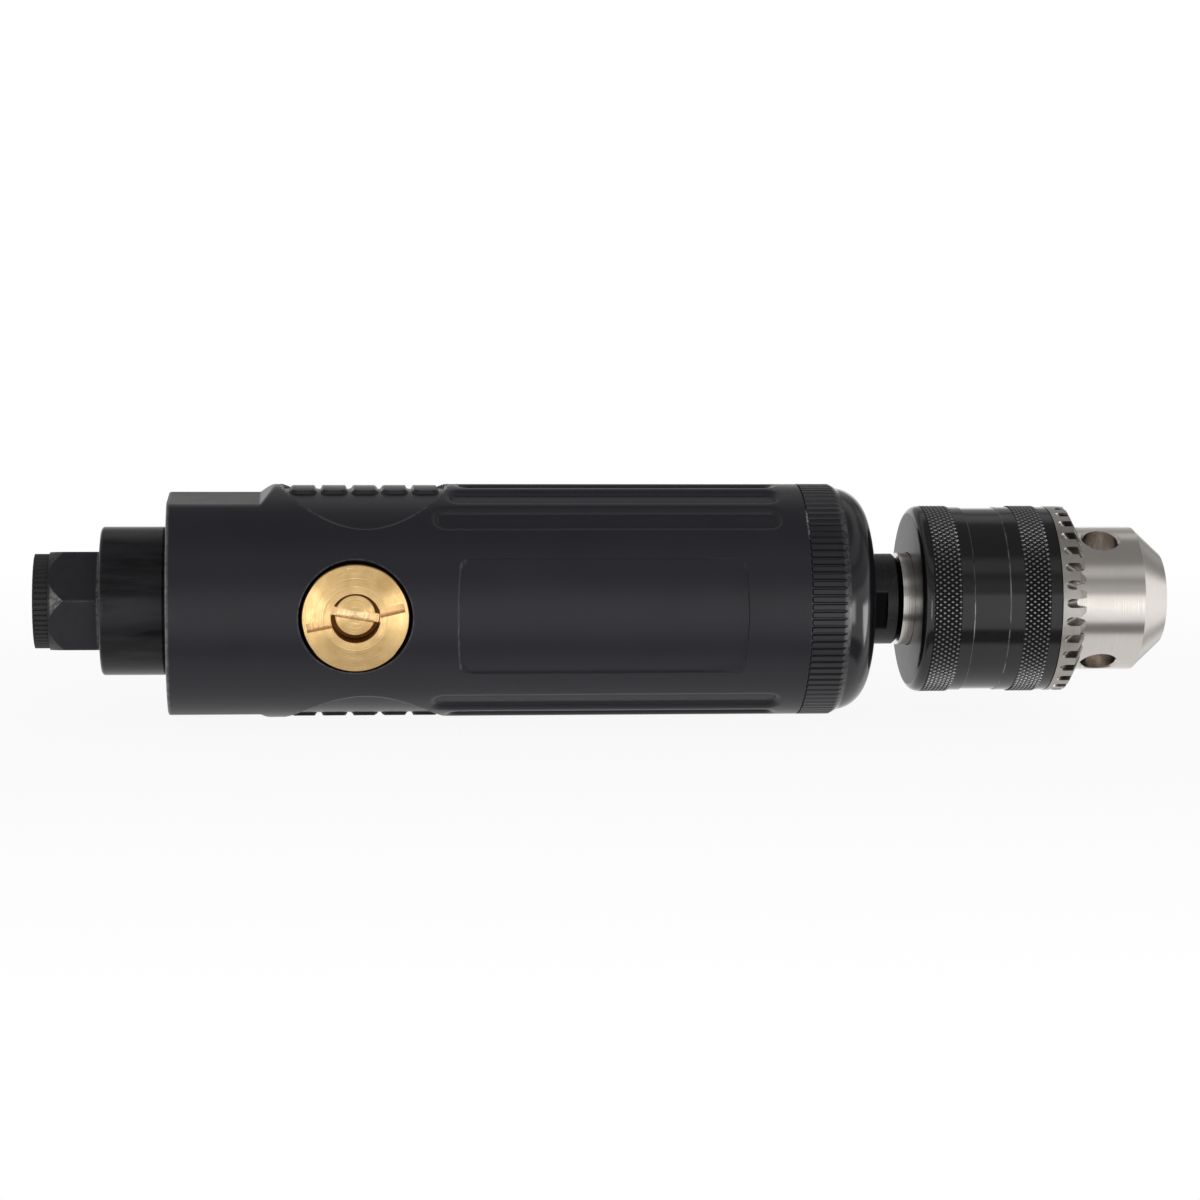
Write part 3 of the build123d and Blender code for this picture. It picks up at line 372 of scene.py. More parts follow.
def housing_shell():
    """The cast body, with close stations at its edges and wide ones between, and its stepped bore."""
    x = steps(
        (0, 0.6, 0.12), (0.6, 15.5, 2.5), (15.5, 21.5, 0.3), (21.5, 52.3, 0.38), (52.3, 53.3, 0.1),
        (53.3, 57.0, 0.3), (57.0, 104.5, 4.0), (104.5, 105.5, 0.1), (105.5, 109.5, 1.3), (109.5, 113.2, 0.2),
        (113.2, 116.6, 1.2), (116.6, body_length, 0.1),
    )
    half = steps((0, 28.5, 2.0), (28.5, 30.0, 0.15), (30.0, 43, 1.3), (43, 137, 0.65), (137, 180, 2.7))
    angle = np.radians(np.concatenate([half, -half[1:-1][::-1]]))
    radius = housing_radius(x[:, None], angle[None, :])
    points = [axial(x[i], radius[i, j], angle[j]) for i in range(len(x)) for j in range(len(angle))]
    cap_seat, cap_bore = 112.3, 19.25
    motor_rear, motor_bore = 48, 17.6
    plenum_rear, plenum_bore = 46, 14.2
    thread_end, thread_bore, air_bore = 14, 8.05, 4
    inside = (
        (body_length, cap_bore), (cap_seat, cap_bore), (cap_seat, motor_bore), (motor_rear, motor_bore),
        (motor_rear, plenum_bore), (plenum_rear, plenum_bore), (plenum_rear, air_bore),
        (thread_end, air_bore), (thread_end, thread_bore), (0, thread_bore),
    )
    for station, bore in inside:
        points += [axial(station, bore, a) for a in angle]
    return make_mesh("grip_shell", points, band_faces(len(x) + len(inside), len(angle), True))


def lever_lug(side):
    """One lug of the lever pivot, a rounded plate that runs into the housing."""
    reach, inner, outer, foot, arc_points = 3.6, 6.8, 9.4, 9.0, 25
    arc = np.linspace(math.pi, 2 * math.pi, arc_points)
    rim = [(reach * math.cos(a), reach * math.sin(a)) for a in arc]
    rim += [(reach, foot), (-reach, foot)]
    points = []
    for across in (inner, outer):
        for along, height in rim:
            x = pivot_x + along - mouth_x
            points.append((x * MM, -(pivot_height + height) * MM, side * across * MM))
    count = len(rim)
    faces = [tuple(range(count)), tuple(range(count, 2 * count))]
    faces += [(k, (k + 1) % count, count + (k + 1) % count, count + k) for k in range(count)]
    return make_mesh("lug", points, faces)


shell = housing_shell()
for side in (1, -1):
    cut(shell, lever_lug(side), "UNION")
pin_reach, pin_hole_radius = 10, 1.52
pin_hole = ((-pin_reach, pin_hole_radius), (pin_reach, pin_hole_radius), (pin_reach, 0), (-pin_reach, 0))
cut(shell, turned_piece("pin_hole", pin_hole, crosswise, segments=48))
bore_low, bore_high = -40, 24
chamber_floor, thread_floor, flange_floor = -4, 6, 14.5
guide_bore, chamber_bore, plug_thread_bore = 5.02, 7.0, 8.42
bore_profile = (
    (bore_low, guide_bore), (chamber_floor, guide_bore), (chamber_floor, chamber_bore),
    (thread_floor, chamber_bore), (thread_floor, plug_thread_bore), (flange_floor, plug_thread_bore),
    (flange_floor, plug_hole_radius), (bore_high, plug_hole_radius), (bore_high, 0), (bore_low, 0),
)
cut(shell, turned_piece("valve_bore", bore_profile, upright))
shell.data.set_sharp_from_angle(angle=smooth_angle)

paint = Finish("charcoal_coat", roughness=0.35, specular_ior_level=0.28)
x, y, z = paint.axes()
fine = paint.noise(0.22, detail=3.0)
broad = paint.noise(9.0, detail=3.0)
inset = (body_radius - y.across(z)).maths("MINIMUM", top_flat - z).maths("MINIMUM", z + bottom_flat)
patchy = paint.noise(1.1, detail=4.0) * 1.4 - 0.2
rear_edge = x.near(0.1, 0.6) * (1.0 - inset.above(0.5, 0.4)) * patchy
flaked = (paint.noise(0.7, detail=4.0) - 0.3).clamped() * 0.8
regulator_side = (y * -1.0).above(0.0, 1.0)
hole_edge = (x - valve_x).across(z).near(plug_hole_radius + 0.05, 0.28) * regulator_side * flaked
round_turn = z.maths("ARCTAN2", y * -1.0)
chipped = paint.noise(0.8, detail=4.0).above(0.4, 0.15)
nick_turn, nick_reach = math.radians(49), math.radians(10)
nick = x.near(body_length - 0.1, 0.35) * round_turn.near(nick_turn, nick_reach).above(0.0, 0.3) * chipped
# Painted highlight: a light line along the edge of each round side field.
field_edge_highlight = (x - field_x).across(y).near(field_radius + 0.15, 0.2) * abs(z).above(14.0, 0.5) * 0.16
in_panel = 1.0 - abs(round_turn).above(math.radians(26), math.radians(2))
# Worn paint with a painted highlight: a light line along the panel's rear end.
panel_rear, panel_bow = 52.45, 2.3
panel_end_wear_and_highlight = (x - panel_rear - round_turn * round_turn * panel_bow).near(0.0, 0.22) * in_panel * 0.18
# The worn paint and the painted highlights together, lightened into the coat below.
wear_and_highlight = (rear_edge + hole_edge + field_edge_highlight + panel_end_wear_and_highlight).clamped()
base = paint.mix(broad, (0.0163, 0.016, 0.021), (0.0214, 0.021, 0.0268))
on_flat = z.above(top_flat - 0.15, 0.1) + (z * -1.0).above(bottom_flat - 0.15, 0.1)
flats = (1.0 - x.above(flat_end - 0.3, 0.4)) * on_flat
milled = paint.mix(flats, base, (0.021, 0.021, 0.0235))
rubbed_and_highlit = paint.mix(wear_and_highlight, milled, (0.28, 0.28, 0.285))
paint.feed("Base Color", paint.mix(nick, rubbed_and_highlit, (0.5, 0.5, 0.5)))
paint.feed("Roughness", broad * 0.1 + fine * 0.08 + flats * 0.12 + 0.24)
paint.bump(fine, 0.02, 0.5)
shell.data.materials.clear()
shell.data.materials.append(paint.material)
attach(shell, "housing")
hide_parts("grip_housing")


# Air inlet. A black oxidised steel bushing with a hexagon, screwed into the rear of the housing. A stamped
# screen sits inside it, and a moulded dust plug with a serrated rim is pushed into its mouth.


def dress(material, *names):
    """Give the CAD pieces of those names a material."""
    for name in names:
        nodes[name].data.materials.clear()
        nodes[name].data.materials.append(material)


hex_turn = math.radians(9)
hex_side = math.radians(60)
hex_half = 9.0
hex_rear = -21.6
bevel_slope = 0.488
burr_x = -12.6
oxide = Finish("black_oxide", metallic=0.3, roughness=0.35, specular_ior_level=0.4)
x, y, z = oxide.axes()
blotch = oxide.noise(1.6, detail=4.0)
fine = oxide.noise(0.25, detail=3.0)
speck = oxide.noise(0.6, detail=5.0).above(0.3, 0.4)
round_turn = z.maths("ARCTAN2", y * -1.0)
sides_round = (round_turn + (2 * math.pi - hex_turn)) / hex_side
ridge = abs(sides_round.maths("FRACT") - 0.5).above(0.47, 0.03) * 0.25
# The hexagon's corners and the burr show worn steel. The rear bevel's light line is worn steel with a
# painted highlight, strongest on the side toward the regulator.
facing = round_turn.near(hex_turn, math.radians(30)) * 0.9 + 0.1
on_bevel = (y.across(z) - hex_half - (x - hex_rear) * bevel_slope).near(0.0, 0.08)
bevel_wear_and_highlight = on_bevel * x.above(hex_rear + 0.3, 0.3) * facing
burr = x.near(burr_x, 0.35) * 0.8
wear_and_highlight = (ridge + bevel_wear_and_highlight + burr).clamped() * speck
skin = oxide.mix(blotch, (0.015, 0.0155, 0.0185), (0.027, 0.0275, 0.032))
oxide.feed("Base Color", oxide.mix(wear_and_highlight, skin, (0.27, 0.27, 0.255)))
oxide.feed("Roughness", blotch * 0.2 + 0.35)
oxide.bump(fine, 0.015, 0.35)
dress(oxide.material, "inlet_bushing")

stopper = Finish("plug_plastic", roughness=0.6, specular_ior_level=0.4)
grain = stopper.noise(0.3, detail=3.0)
stopper.feed("Base Color", stopper.mix(grain, (0.014, 0.014, 0.0148), (0.021, 0.021, 0.022)))
stopper.feed("Roughness", grain * 0.2 + 0.5)
stopper.bump(grain, 0.02, 0.4)
dress(stopper.material, "inlet_dust_plug")


# Exhaust deflector. A collar moulded in black plastic that turns on the bushing, with slots that blow away
# from the hand. A felt ring inside it dampens the noise, and a rubber ring at its front keeps it tight.
# The other seals of the drill are of the same felt and rubber.

collar_rear = -12.15
collar_front = -0.25
collar_edge = 13.1
collar = Finish("collar_black", roughness=0.3, specular_ior_level=0.25)
x, y, z = collar.axes()
streak = collar.noise(2.0, detail=4.0, stretch=(0.15, 1, 1))
grain = collar.noise(0.3, detail=2.0)
edge = (x.near(collar_rear, 0.35) + x.near(collar_front, 0.3)) * y.across(z).above(collar_edge, 0.2) * 0.8
skin = collar.mix(streak.above(0.38, 0.2), (0.003, 0.0031, 0.0042), (0.0145, 0.0147, 0.0175))
collar.feed("Base Color", collar.mix(edge * (grain * 0.6 + 0.4), skin, (0.12, 0.12, 0.12)))
collar.feed("Roughness", streak * 0.2 + 0.18)
collar.bump(grain, 0.008, 0.3)
dress(collar.material, "exhaust_deflector")

felt = Finish("felt", roughness=0.95, specular_ior_level=0.1)
fibre = felt.noise(0.4, detail=6.0, roughness=0.7)
felt.feed("Base Color", felt.mix(fibre, (0.30, 0.28, 0.24), (0.46, 0.44, 0.40)))
felt.bump(fibre, 0.1, 0.8)
dress(felt.material, "exhaust_muffler", "spindle_seal")

rubber = Finish("seal_rubber", roughness=0.6, specular_ior_level=0.4)
bloom = rubber.noise(0.8, detail=3.0)
rubber.feed("Base Color", rubber.mix(bloom, (0.012, 0.012, 0.012), (0.022, 0.022, 0.022)))
rubber.feed("Roughness", bloom * 0.2 + 0.5)
dress(rubber.material, "deflector_seal", "plug_seal", "screw_seal", "guide_seal")


# Flow regulator. A turned brass plug screwed into the housing, with a coned face and two driver slots, and
# a slotted brass screw in its middle that turns the metering sleeve. Heights count from the drill's axis.

plug_top = 21.2
cone_start, cone_slope = 5.9, 0.151
driver_floor = 19.2
screw_bore = 4.5
screw_head = 3.5
screw_top = 17.45
screw_slot_floor = 16.1
screw_slot_half = 0.74
screw_slot_turn = math.radians(9.5)
reflection_spot_x, reflection_spot_z = 5.3, 6.3
gap_shade_floor, gap_shade_rise = 16.5, 2.8
brass = Finish("turned_brass", metallic=1.0, roughness=0.28)
x, y, z = brass.axes()
out = (x - valve_x).across(z)
height = y * -1.0
rings = brass.tool_marks(out, 13.0, detail=3.0)
# Painted reflection: a darker patch at the upper right of the face, added to the cloudy tarnish.
from_reflection_spot = (x - valve_x - reflection_spot_x).across(z - reflection_spot_z)
tarnish_and_reflection = (brass.noise(2.2, detail=4.0) + (1.0 - from_reflection_spot.above(0.5, 1.8)) * 0.7).clamped()
face = plug_top - (out - cone_start).maths("MAXIMUM", 0.0) * cone_slope
on_plug = out.above(screw_bore + 0.05, 0.05)
driver_wall = (face - height).above(0.06, 0.05) * height.above(driver_floor + 0.03, 0.04) * on_plug
driver_slot = height.near(driver_floor, 0.05) * on_plug
on_head = 1.0 - out.above(screw_head, 0.05)
screw_wall = (screw_top - height).above(0.0, 0.05) * height.above(screw_slot_floor + 0.04, 0.04) * on_head
from_slot = abs((x - valve_x) * math.sin(screw_slot_turn) + z * math.cos(screw_slot_turn))
screw_slot = height.near(screw_slot_floor, 0.05) * (1.0 - from_slot.above(screw_slot_half, 0.06))
ring = out.above(screw_head + 0.05, 0.1) * (1.0 - out.above(screw_bore, 0.1))
# Painted shade: the gap round the screw head turns dark towards its floor.
gap_shade = ring * (1.0 - height.above(gap_shade_floor, gap_shade_rise)) * (1.0 - screw_slot)
bright = brass.mix(tarnish_and_reflection, (0.78, 0.55, 0.265), (0.54, 0.345, 0.14))
sawn = brass.mix(screw_slot, bright, (0.78, 0.54, 0.29))
milled = brass.mix(driver_slot, sawn, (0.66, 0.42, 0.2))
# Painted shade on the walls of the driver slots and of the screw's slot.
walls_shaded = brass.mix(driver_wall + screw_wall, milled, (0.36, 0.16, 0.04))
brass.feed("Base Color", brass.mix(gap_shade, walls_shaded, (0.2, 0.08, 0.022)))
brass.feed("Roughness", tarnish_and_reflection * 0.12 + gap_shade * 0.3 + 0.13)
brass.bump(rings, 0.022, 1.0)
dress(brass.material, "regulator_plug", "regulator_screw", "regulator_sleeve", "valve_guide")


# Front cap. A turned aluminium cap with a glossy black coat, a domed nose and a straight knurled ring for
# the hand. It is screwed into the front of the housing and holds the spindle bearing.

cap_radius = 21.62
chamfer_rear, chamfer_front, chamfer_slope = 122.8, 124.0, 0.514
cap = Finish("cap_black", roughness=0.15, specular_ior_level=0.55)
x, y, z = cap.axes()
haze = cap.noise(4.0, detail=3.0)
on_chamfer = (y.across(z) - cap_radius + (x - chamfer_rear) * chamfer_slope).near(0.0, 0.07)
rim = on_chamfer * x.above(chamfer_rear + 0.1, 0.1) * (1.0 - x.above(chamfer_front, 0.1))
rub = rim * cap.noise(0.8, detail=4.0).above(0.42, 0.2) * 0.35
coat = cap.mix(haze, (0.006, 0.006, 0.008), (0.011, 0.011, 0.0145))
knurled_ring = 1.0 - x.above(chamfer_rear + 0.2, 1.0)
cap.feed("Base Color", cap.mix(rub, coat, (0.13, 0.13, 0.13)))
cap.feed("Roughness", haze * 0.08 + knurled_ring * 0.3 + 0.07)
dress(cap.material, "front_cap")


# Spindle. Hardened steel with a black oxide finish, turned in one piece with the carrier of the planets.
# Two wrench flats are milled in front of the cap, and the chuck is screwed on its end.

flat_reach = 8.3
axle = Finish("spindle_black", roughness=0.4)
x, y, z = axle.axes()
scuff = axle.noise(0.9, detail=5.0)
# Painted shade and painted reflection: the milled flats get a near-black colour, for the dark reflection and
# shade that lie on them.
milled = 1.0 - y.across(z).above(flat_reach, 0.15)
skin = axle.mix(scuff.above(0.55, 0.3), (0.011, 0.0105, 0.0115), (0.045, 0.045, 0.045))
axle.feed("Base Color", axle.mix(milled, skin, (0.006, 0.006, 0.006)))
axle.feed("Metallic", milled * 0.7 + 0.3)
axle.feed("Roughness", scuff * 0.25 + 0.3)
dress(axle.material, "spindle")


# Chuck body and gear ring. A steel body with bright nickel plating, turned with fine lathe marks, and a
# duller plated ring with milled teeth for the key, pressed on the front of the sleeve.

nickel = Finish("bright_nickel", metallic=1.0, roughness=0.2)
x, y, z = nickel.axes()
lathe = nickel.tool_marks(x, 5.0, detail=4.0)
cloud = nickel.noise(6.0, detail=3.0)
nickel.feed("Base Color", nickel.mix(cloud * 0.4 + lathe * 0.6, (0.80, 0.755, 0.71), (0.60, 0.565, 0.53)))
nickel.feed("Roughness", lathe * 0.12 + cloud * 0.06 + 0.1)
nickel.bump(lathe, 0.02, 0.5)
dress(nickel.material, "chuck_body")

tooth_radius = 17.4
tooth_rear, tooth_front, tooth_slope = 167.6, 169.4, 2.0
dull = Finish("dull_nickel", metallic=1.0, roughness=0.4)
x, y, z = dull.axes()
cloud = dull.noise(1.5, detail=4.0)
plate = dull.mix(cloud, (0.36, 0.345, 0.325), (0.52, 0.495, 0.46))
# Painted shade: the gullets between the teeth are darker.
envelope = tooth_radius - (x - tooth_rear).maths("MAXIMUM", 0.0) * tooth_slope
gullet_shade = (envelope - y.across(z)).above(0.1, 0.3) * (1.0 - x.above(tooth_front, 0.05))
dull.feed("Base Color", dull.mix(gullet_shade, plate, (0.17, 0.155, 0.14)))
dull.feed("Roughness", cloud * 0.2 + 0.3)
dress(dull.material, "chuck_gear_ring")


# Chuck sleeve. A blackened steel shell that the hand or the key turns, with a plain waist between two
# bands of diamond knurling. The crests are lighter as rubbed steel with a painted highlight, and the
# waist's edges carry a painted highlight.

sleeve_rear, sleeve_front = 138.3, 164.3
sleeve_round, sleeve_lip = 1.9, 0.15
crest_radius, plain_radius, waist_radius = 17.5, 17.3, 17.1
inner_radius, web_bore, web_front = 16.0, 8.8, 140.8
waist_rear, waist_front, waist_step = 147.75, 154.55, 0.2
rear_knurl, rear_knurl_half = 142.8, 2.6
front_knurl, front_knurl_half = 159.7, 2.5
studs_start = 140.5
sleeve_black = Finish("sleeve_black", roughness=0.25, specular_ior_level=0.85)
x, y, z = sleeve_black.axes()
cloud = sleeve_black.noise(2.0, detail=4.0)
# Painted highlight on the stud crests, which are also rubbed, and on the waist's edges.
crest_wear_and_highlight = y.across(z).above(crest_radius - 0.14, 0.1) * x.above(studs_start, 0.1) * 0.8
waist_edges = x.near(waist_rear + 0.05, 0.12) + x.near(waist_front - 0.05, 0.12)
waist_edge_highlight = waist_edges * cloud.above(0.35, 0.2) * 0.7
rubbed_and_highlit = (crest_wear_and_highlight + waist_edge_highlight).clamped()
rear_face = 1.0 - x.above(sleeve_rear + 0.05, 0.1)
rear_band = x.near(rear_knurl, rear_knurl_half).above(0.0, 0.05)
front_band = x.near(front_knurl, front_knurl_half).above(0.0, 0.05)
knurl_bands = rear_band + front_band
plain = sleeve_black.mix(cloud, (0.005, 0.005, 0.0055), (0.0105, 0.0105, 0.0112))
skin = sleeve_black.mix(knurl_bands, plain, (0.02, 0.02, 0.0208))
sleeve_black.feed("Base Color", sleeve_black.mix(rubbed_and_highlit, skin, (0.29, 0.285, 0.28)))
sleeve_black.feed("Metallic", rubbed_and_highlit * 0.4 + 0.4)
sleeve_black.feed("Roughness", cloud * 0.08 + rear_face * 0.28 + knurl_bands * 0.24 + 0.06)

stud_height, stud_sink = 0.4, 0.04
stud_top, stud_base, stud_stretch = 0.17, 0.53, 1.43
floor_radius = crest_radius - stud_height
rear_floor, front_floor, floor_step = (140.35, 145.3), (157.35, 162.0), 0.1
round_radius = crest_radius - sleeve_round
rear_round = []
for turned in np.radians(range(0, 91, 9)):
    along = sleeve_rear + sleeve_round * (1 - math.cos(turned))
    rear_round.append((along, round_radius + sleeve_round * math.sin(turned)))
sleeve_profile = [
    (sleeve_rear, web_bore), *rear_round,
    (rear_floor[0], floor_radius), (rear_floor[1], floor_radius), (rear_floor[1] + floor_step, plain_radius),
    (waist_rear, plain_radius), (waist_rear + waist_step, waist_radius),
    (waist_front - waist_step, waist_radius), (waist_front, plain_radius),
    (front_floor[0] - floor_step, plain_radius), (front_floor[0], floor_radius),
    (front_floor[1], floor_radius), (front_floor[1] + floor_step, plain_radius),
    (sleeve_front - sleeve_lip, plain_radius), (sleeve_front, plain_radius - sleeve_lip),
    (sleeve_front, inner_radius), (web_front, inner_radius), (web_front, web_bore),
]
knurled = turned_piece("knurled_sleeve", sleeve_profile, axial, segments=180)
knurled.data.materials.append(sleeve_black.material)

knurling = bpy.data.node_groups.new("knurling", "GeometryNodeTree")
knurling.interface.new_socket("Geometry", in_out="OUTPUT", socket_type="NodeSocketGeometry")
knurling.interface.new_socket("Geometry", in_out="INPUT", socket_type="NodeSocketGeometry")
counts = ("Studs Round", "Rows")
lengths = ("First Row", "Row Pitch", "Stud Centre", "Stud Depth", "Stud Top", "Stud Base")
inputs = {}
for label in (*counts, *lengths):
    kind = "NodeSocketInt" if label in counts else "NodeSocketFloat"
    inputs[label] = knurling.interface.new_socket(label, in_out="INPUT", socket_type=kind)

entry = Tone(knurling)
group_in = knurling.nodes.new("NodeGroupInput")
given = {socket.name: Tone(knurling, socket) for socket in group_in.outputs if socket.name}
studs_round, stud_centre = given["Studs Round"], given["Stud Centre"]
grid = entry.node("GeometryNodeMeshGrid", {}, {"Vertices X": given["Rows"], "Vertices Y": studs_round})
index = entry.node("GeometryNodeInputIndex", {}, {})
row = (index / studs_round).maths("FLOOR")
column = index - row * studs_round
angle = (column + row * 0.5) * (2 * math.pi) / studs_round
stud_place = entry.node("ShaderNodeCombineXYZ", {}, {
    0: given["First Row"] + row * given["Row Pitch"],
    1: angle.maths("COSINE") * stud_centre * -1.0,
    2: angle.maths("SINE") * stud_centre,
})
points = entry.node("GeometryNodeSetPosition", {}, {"Geometry": grid, "Position": stud_place})
stud = entry.node("GeometryNodeMeshCone", {}, {
    "Vertices": 4, "Radius Top": given["Stud Top"], "Radius Bottom": given["Stud Base"],
    "Depth": given["Stud Depth"],
})
sunk = (0, 0, -(stud_height / 2 + stud_sink) * MM)
centred = entry.node("GeometryNodeTransform", {}, {"Geometry": stud, "Translation": sunk})
lean = entry.node("ShaderNodeCombineXYZ", {}, {0: math.pi / 2 - angle})
studs = entry.node("GeometryNodeInstanceOnPoints", {}, {
    "Points": points, "Instance": centred, "Rotation": lean, "Scale": (stud_stretch, 1.0, 1.0),
})
joined = entry.node("GeometryNodeJoinGeometry", {}, {"Geometry": studs})
knurling.links.new(given["Geometry"].socket, joined.socket.node.inputs["Geometry"])
real = entry.node("GeometryNodeRealizeInstances", {}, {"Geometry": joined})
coated = entry.node("GeometryNodeSetMaterial", {}, {"Geometry": real, "Material": sleeve_black.material})
group_out = knurling.nodes.new("NodeGroupOutput")
knurling.links.new(coated.socket, group_out.inputs["Geometry"])

for first_row, row_pitch in ((140.6, 0.74), (157.55, 0.7)):
    band = knurled.modifiers.new("knurling", "NODES")
    band.node_group = knurling
    sizes = {
        "Studs Round": 107, "Rows": 7, "First Row": (first_row - mouth_x) * MM, "Row Pitch": row_pitch * MM,
        "Stud Centre": (crest_radius - stud_height / 2) * MM, "Stud Depth": (stud_height + stud_sink) * MM,
        "Stud Top": stud_top * MM, "Stud Base": stud_base * MM,
    }
    for label, size in sizes.items():
        band[inputs[label].identifier] = size
graph = bpy.context.evaluated_depsgraph_get()
knurled_mesh = bpy.data.meshes.new_from_object(knurled.evaluated_get(graph))
knurled.modifiers.clear()
knurled.data = knurled_mesh
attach(knurled, "chuck_sleeve")
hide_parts("chuck_sleeve")


# Throttle lever. Folded sheet steel with a black coat. It swings on a steel pin between the lugs of the
# housing and presses the pin of the valve.

lever = Finish("lever_black", roughness=0.4, specular_ior_level=0.5)
speck = lever.noise(0.5, detail=4.0)
lever.feed("Base Color", lever.mix(speck, (0.012, 0.012, 0.013), (0.024, 0.024, 0.025)))
lever.feed("Roughness", speck * 0.2 + 0.3)
lever.bump(speck, 0.02, 0.4)
dress(lever.material, "throttle_lever")


# Working parts inside. Gears, rotor, jaws, pins and bearings of ground steel, motor castings of iron and
# blades of phenolic resin. The motor and the gears are stacked in the housing and held by the front cap.

steel = Finish("ground_steel", metallic=1.0, roughness=0.3)
polish = steel.noise(0.7, detail=4.0)
steel.feed("Base Color", steel.mix(polish, (0.50, 0.50, 0.50), (0.60, 0.60, 0.60)))
steel.feed("Roughness", polish * 0.2 + 0.2)
inner_steel = [
    "lever_pin", "throttle_valve", "inlet_screen", "cylinder_dowel", "rotor", "ring_gear", "planet_pins",
    "chuck_nut",
]
for number in (1, 2, 3):
    inner_steel += [f"planet_gear_{number}", f"chuck_jaw_{number}"]
for bearing in ("rear", "front", "spindle"):
    inner_steel += [f"{bearing}_bearing_{part}" for part in ("outer", "inner", "balls")]
dress(steel.material, *inner_steel)

iron = Finish("ground_iron", metallic=0.9, roughness=0.45)
pores = iron.noise(0.6, detail=5.0)
iron.feed("Base Color", iron.mix(pores, (0.22, 0.22, 0.22), (0.34, 0.34, 0.34)))
iron.feed("Roughness", pores * 0.25 + 0.35)
dress(iron.material, "motor_cylinder", "rear_end_plate", "front_end_plate")

resin = Finish("blade_resin", roughness=0.5)
layers = resin.noise(0.5, detail=4.0, stretch=(0.2, 1, 1))
resin.feed("Base Color", resin.mix(layers, (0.14, 0.07, 0.03), (0.22, 0.12, 0.06)))
dress(resin.material, "rotor_blades")


# Valve spring. A coil of steel wire between the regulator's metering sleeve and the valve, which holds the
# valve shut. It rides on the valve. On the drill it shortens by the valve's travel when the lever is
# pressed;
# this coil keeps one length.

spring_low, spring_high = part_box("valve_spring")
wire_radius, wire_sides = 0.4, 12
turn_count, steps_per_turn = 5, 32
coil_radius = (spring_high[0] - spring_low[0]) / 2 / MM - wire_radius
bottom = -spring_high[1] / MM + wire_radius
top = -spring_low[1] / MM - wire_radius
points = []
for turned in np.linspace(0, turn_count, turn_count * steps_per_turn + 1):
    middle = bottom + (top - bottom) * turned / turn_count
    for side in range(wire_sides):
        around = 2 * math.pi * side / wire_sides
        radius = coil_radius + wire_radius * math.cos(around)
        points.append(upright(middle + wire_radius * math.sin(around), radius, 2 * math.pi * turned))
ends = [tuple(range(wire_sides)), tuple(range(len(points) - wire_sides, len(points)))]
wire = band_faces(len(points) // wire_sides, wire_sides, False)
spring = make_mesh("coil_spring", points, wire + ends)
spring.data.materials.append(steel.material)
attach(spring, "valve")
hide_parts("valve_spring")
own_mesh(spring)


# Floor. A plain white sheet of paper that the drill lies on. It is bright to the camera and keeps the
# drill's soft shadow, which fades out 0.2 m away. Reflections leave it out and show the room instead.

floor_z = cad_box[0][2]
sheet = 4
corners = [(i * sheet, j * sheet, floor_z) for i, j in ((-1, -1), (1, -1), (1, 1), (-1, 1))]
ground = make_mesh("floor", corners, [(0, 1, 2, 3)])
drill_middle, drill_half = 80.0, 100.0
shade_start, shade_run, shade = 40.0, 160.0, 0.08
paper = Finish("white_paper", roughness=0.9, base_color=(0.9, 0.9, 0.9, 1.0), specular_ior_level=0.1)
x, y, z = paper.axes()
beyond = (abs(x - drill_middle) - drill_half).maths("MAXIMUM", 0.0)
away = ((beyond.across(y) - shade_start) / shade_run).clamped()
seen = paper.node("ShaderNodeLightPath", {}, {}, "Is Camera Ray") * (away * shade + (1.0 - shade))
clear = paper.node("ShaderNodeLightPath", {}, {}, "Is Transmission Ray")
glow = paper.node("ShaderNodeEmission", {}, {"Color": (1, 1, 1, 1), "Strength": 1.0})
lit = Tone(paper.tree, paper.shader.outputs[0])
blend = paper.node("ShaderNodeMixShader", {}, {0: (seen + clear).clamped(), 1: lit, 2: glow})
paper.tree.links.new(blend.socket, paper.tree.nodes["Material Output"].inputs["Surface"])
ground.data.materials.append(paper.material)
ground.visible_glossy = False


# Light. A white room with a dim ceiling, as the bright and dark bands on the chuck show it. A soft box
# stands on either side of the camera and one past the chuck, where the room's far corner is darker. A
# lamp before the drill and a lit card on the paper fill its front.

world = bpy.data.worlds.new("studio")
world.use_nodes = True
bpy.context.scene.world = world
sky = Tone(world.node_tree)
direction = sky.node("ShaderNodeTexCoord", {}, {}, "Generated")
x, y, z = (sky.node("ShaderNodeSeparateXYZ", {}, {0: direction}, k) for k in range(3))
# Height of a direction, from -1 straight down to 1 straight up, and the brightness of the room there.
bands = (
    (-0.60, 0.80), (-0.46, 0.95), (-0.2, 1.05), (0.19, 1.05), (0.27, 0.47), (0.42, 0.47), (0.59, 0.28),
    (0.69, 0.57), (0.80, 0.57), (0.88, 0.24),
)
stops = [((1 + rise) / 2, (level, level, level)) for rise, level in bands]
room = sky.node("ShaderNodeValToRGB", {"stops": stops}, {0: z * 0.5 + 0.5})
before = (y * -1.0).above(0.0, 0.3)
table_edge = z.above(-0.78, 0.06) * (1.0 - z.above(-0.54, 0.08)) * before
side_height = z.above(-0.3, 0.08) * (1.0 - z.above(0.05, 0.08))
side_boxes = abs(x - 0.05).near(0.41, 0.14) * before * side_height
end_height = z.above(-0.6, 0.1) * (1.0 - z.above(-0.06, 0.08))
end_box = x.above(0.86, 0.05) * (1.0 - y.above(-0.1, 0.08)) * end_height
far_corner = y.above(0.6, 0.2) * x.above(0.3, 0.2) * z.above(-0.55, 0.3)
wing_height = z.above(0.1, 0.15) + 1.0 - z.above(-0.4, 0.15)
right_wing = x.above(0.6, 0.2) * y.above(0.25, 0.1) * wing_height
walls = room * (1.0 - far_corner * 0.7) * (1.0 - table_edge * 0.75) * (1.0 - right_wing * 0.55)
camera_ray = sky.node("ShaderNodeLightPath", {}, {}, "Is Camera Ray")
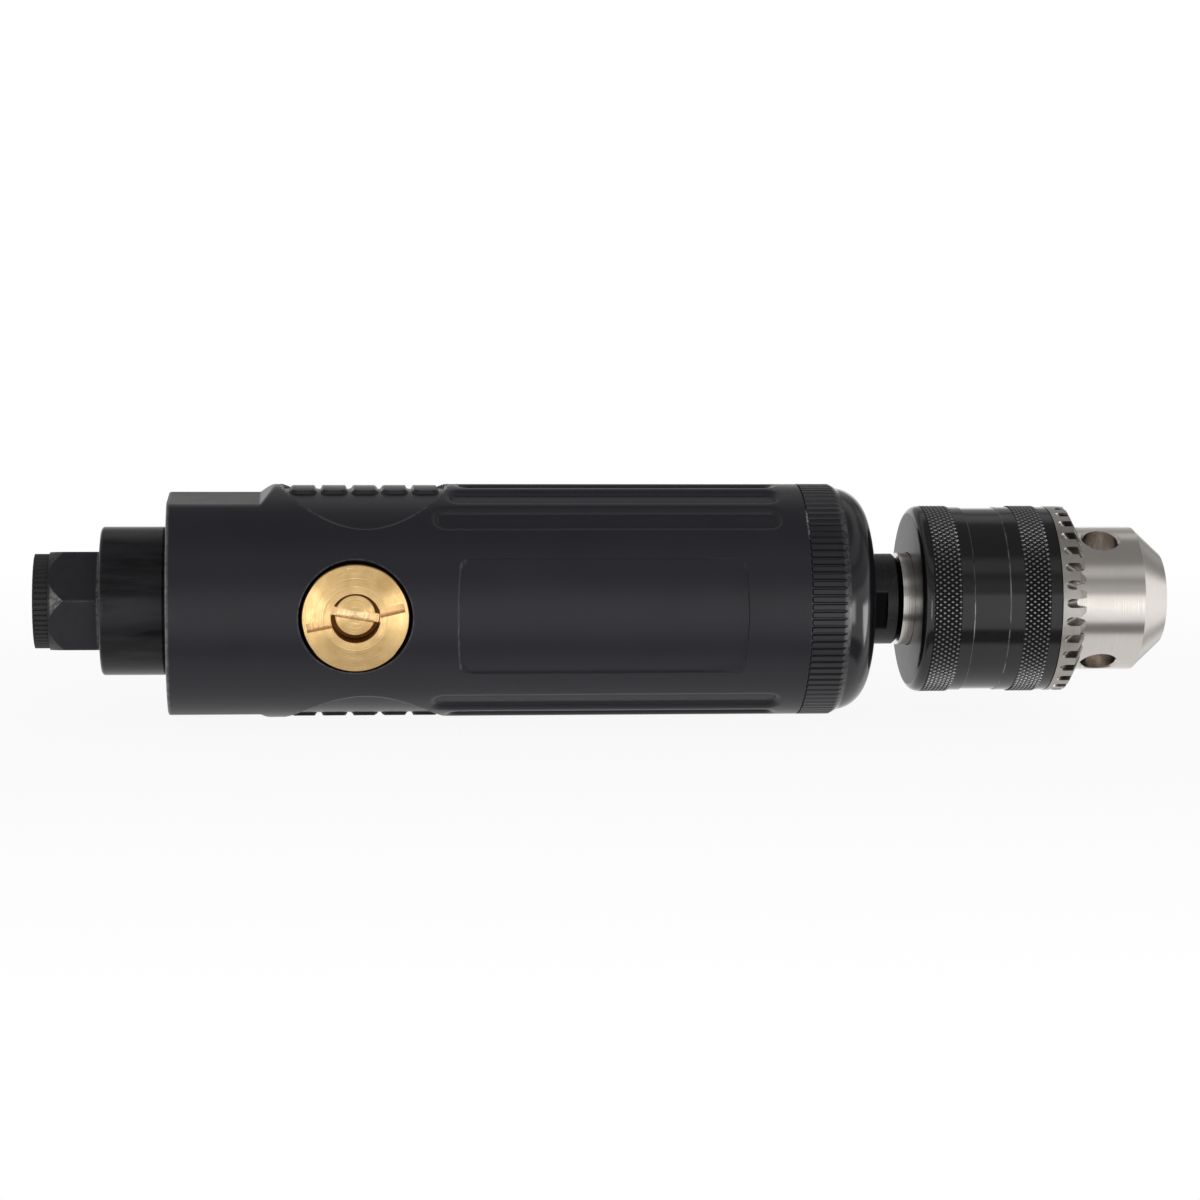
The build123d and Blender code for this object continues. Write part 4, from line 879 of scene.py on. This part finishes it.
level = (walls + (side_boxes * 4.2 + end_box * 5.2)).maths("MAXIMUM", camera_ray)
backdrop = world.node_tree.nodes["Background"]
backdrop.inputs["Color"].default_value = (1, 1, 1, 1)
world.node_tree.links.new(level.socket, backdrop.inputs["Strength"])


def soft_box(name, place, aim, size, watts):
    """Rectangular lamp that gives light but isn't seen, not in reflections either."""
    lamp = bpy.data.lights.new(name, "AREA")
    lamp.shape = "RECTANGLE"
    lamp.size, lamp.size_y = size
    lamp.energy = watts
    box = bpy.data.objects.new(name, lamp)
    box.location = place
    box.rotation_euler = (Vector(aim) - Vector(place)).to_track_quat("-Z", "Y").to_euler()
    box.visible_camera = False
    box.visible_glossy = False
    bpy.context.scene.collection.objects.link(box)


soft_box("before", (-0.1, -1.0, 0.3), (-0.1, 0.0, 0.0), (1.0, 0.25), 2.0)
soft_box("card on the paper", (-0.1, -0.035, floor_z + 0.002), (-0.1, -0.034, 1.0), (0.26, 0.04), 0.015)


# Camera. At the photograph's place: turned a little to the rear of the drill, nine degrees above it and
# 0.6 m away, with a long lens.

aim_x = 80.07
yaw = math.radians(5.51)
rise = math.radians(9.0)
roll = math.radians(-0.176)
distance = 0.6016
drop = 0.000107
aim = Vector(((aim_x - mouth_x) * MM, 0.0, 0.0))
back = Vector((-math.sin(yaw), -math.cos(yaw) * math.cos(rise), math.cos(yaw) * math.sin(rise)))
right = Vector((math.cos(yaw), -math.sin(yaw) * math.cos(rise), math.sin(yaw) * math.sin(rise)))
up = back.cross(right)
tilted_right = right * math.cos(roll) + up * math.sin(roll)
tilted_up = back.cross(tilted_right)
lens = bpy.data.cameras.new("camera")
lens.lens = 96.38
lens.sensor_width = 36.0
eye = bpy.data.objects.new("camera", lens)
spot = aim + back * distance - tilted_up * drop
turn = Matrix((tilted_right, tilted_up, back)).transposed()
eye.matrix_world = Matrix.Translation(spot) @ turn.to_4x4()
bpy.context.scene.collection.objects.link(eye)
bpy.context.scene.camera = eye
bpy.context.scene.view_settings.view_transform = "Standard"
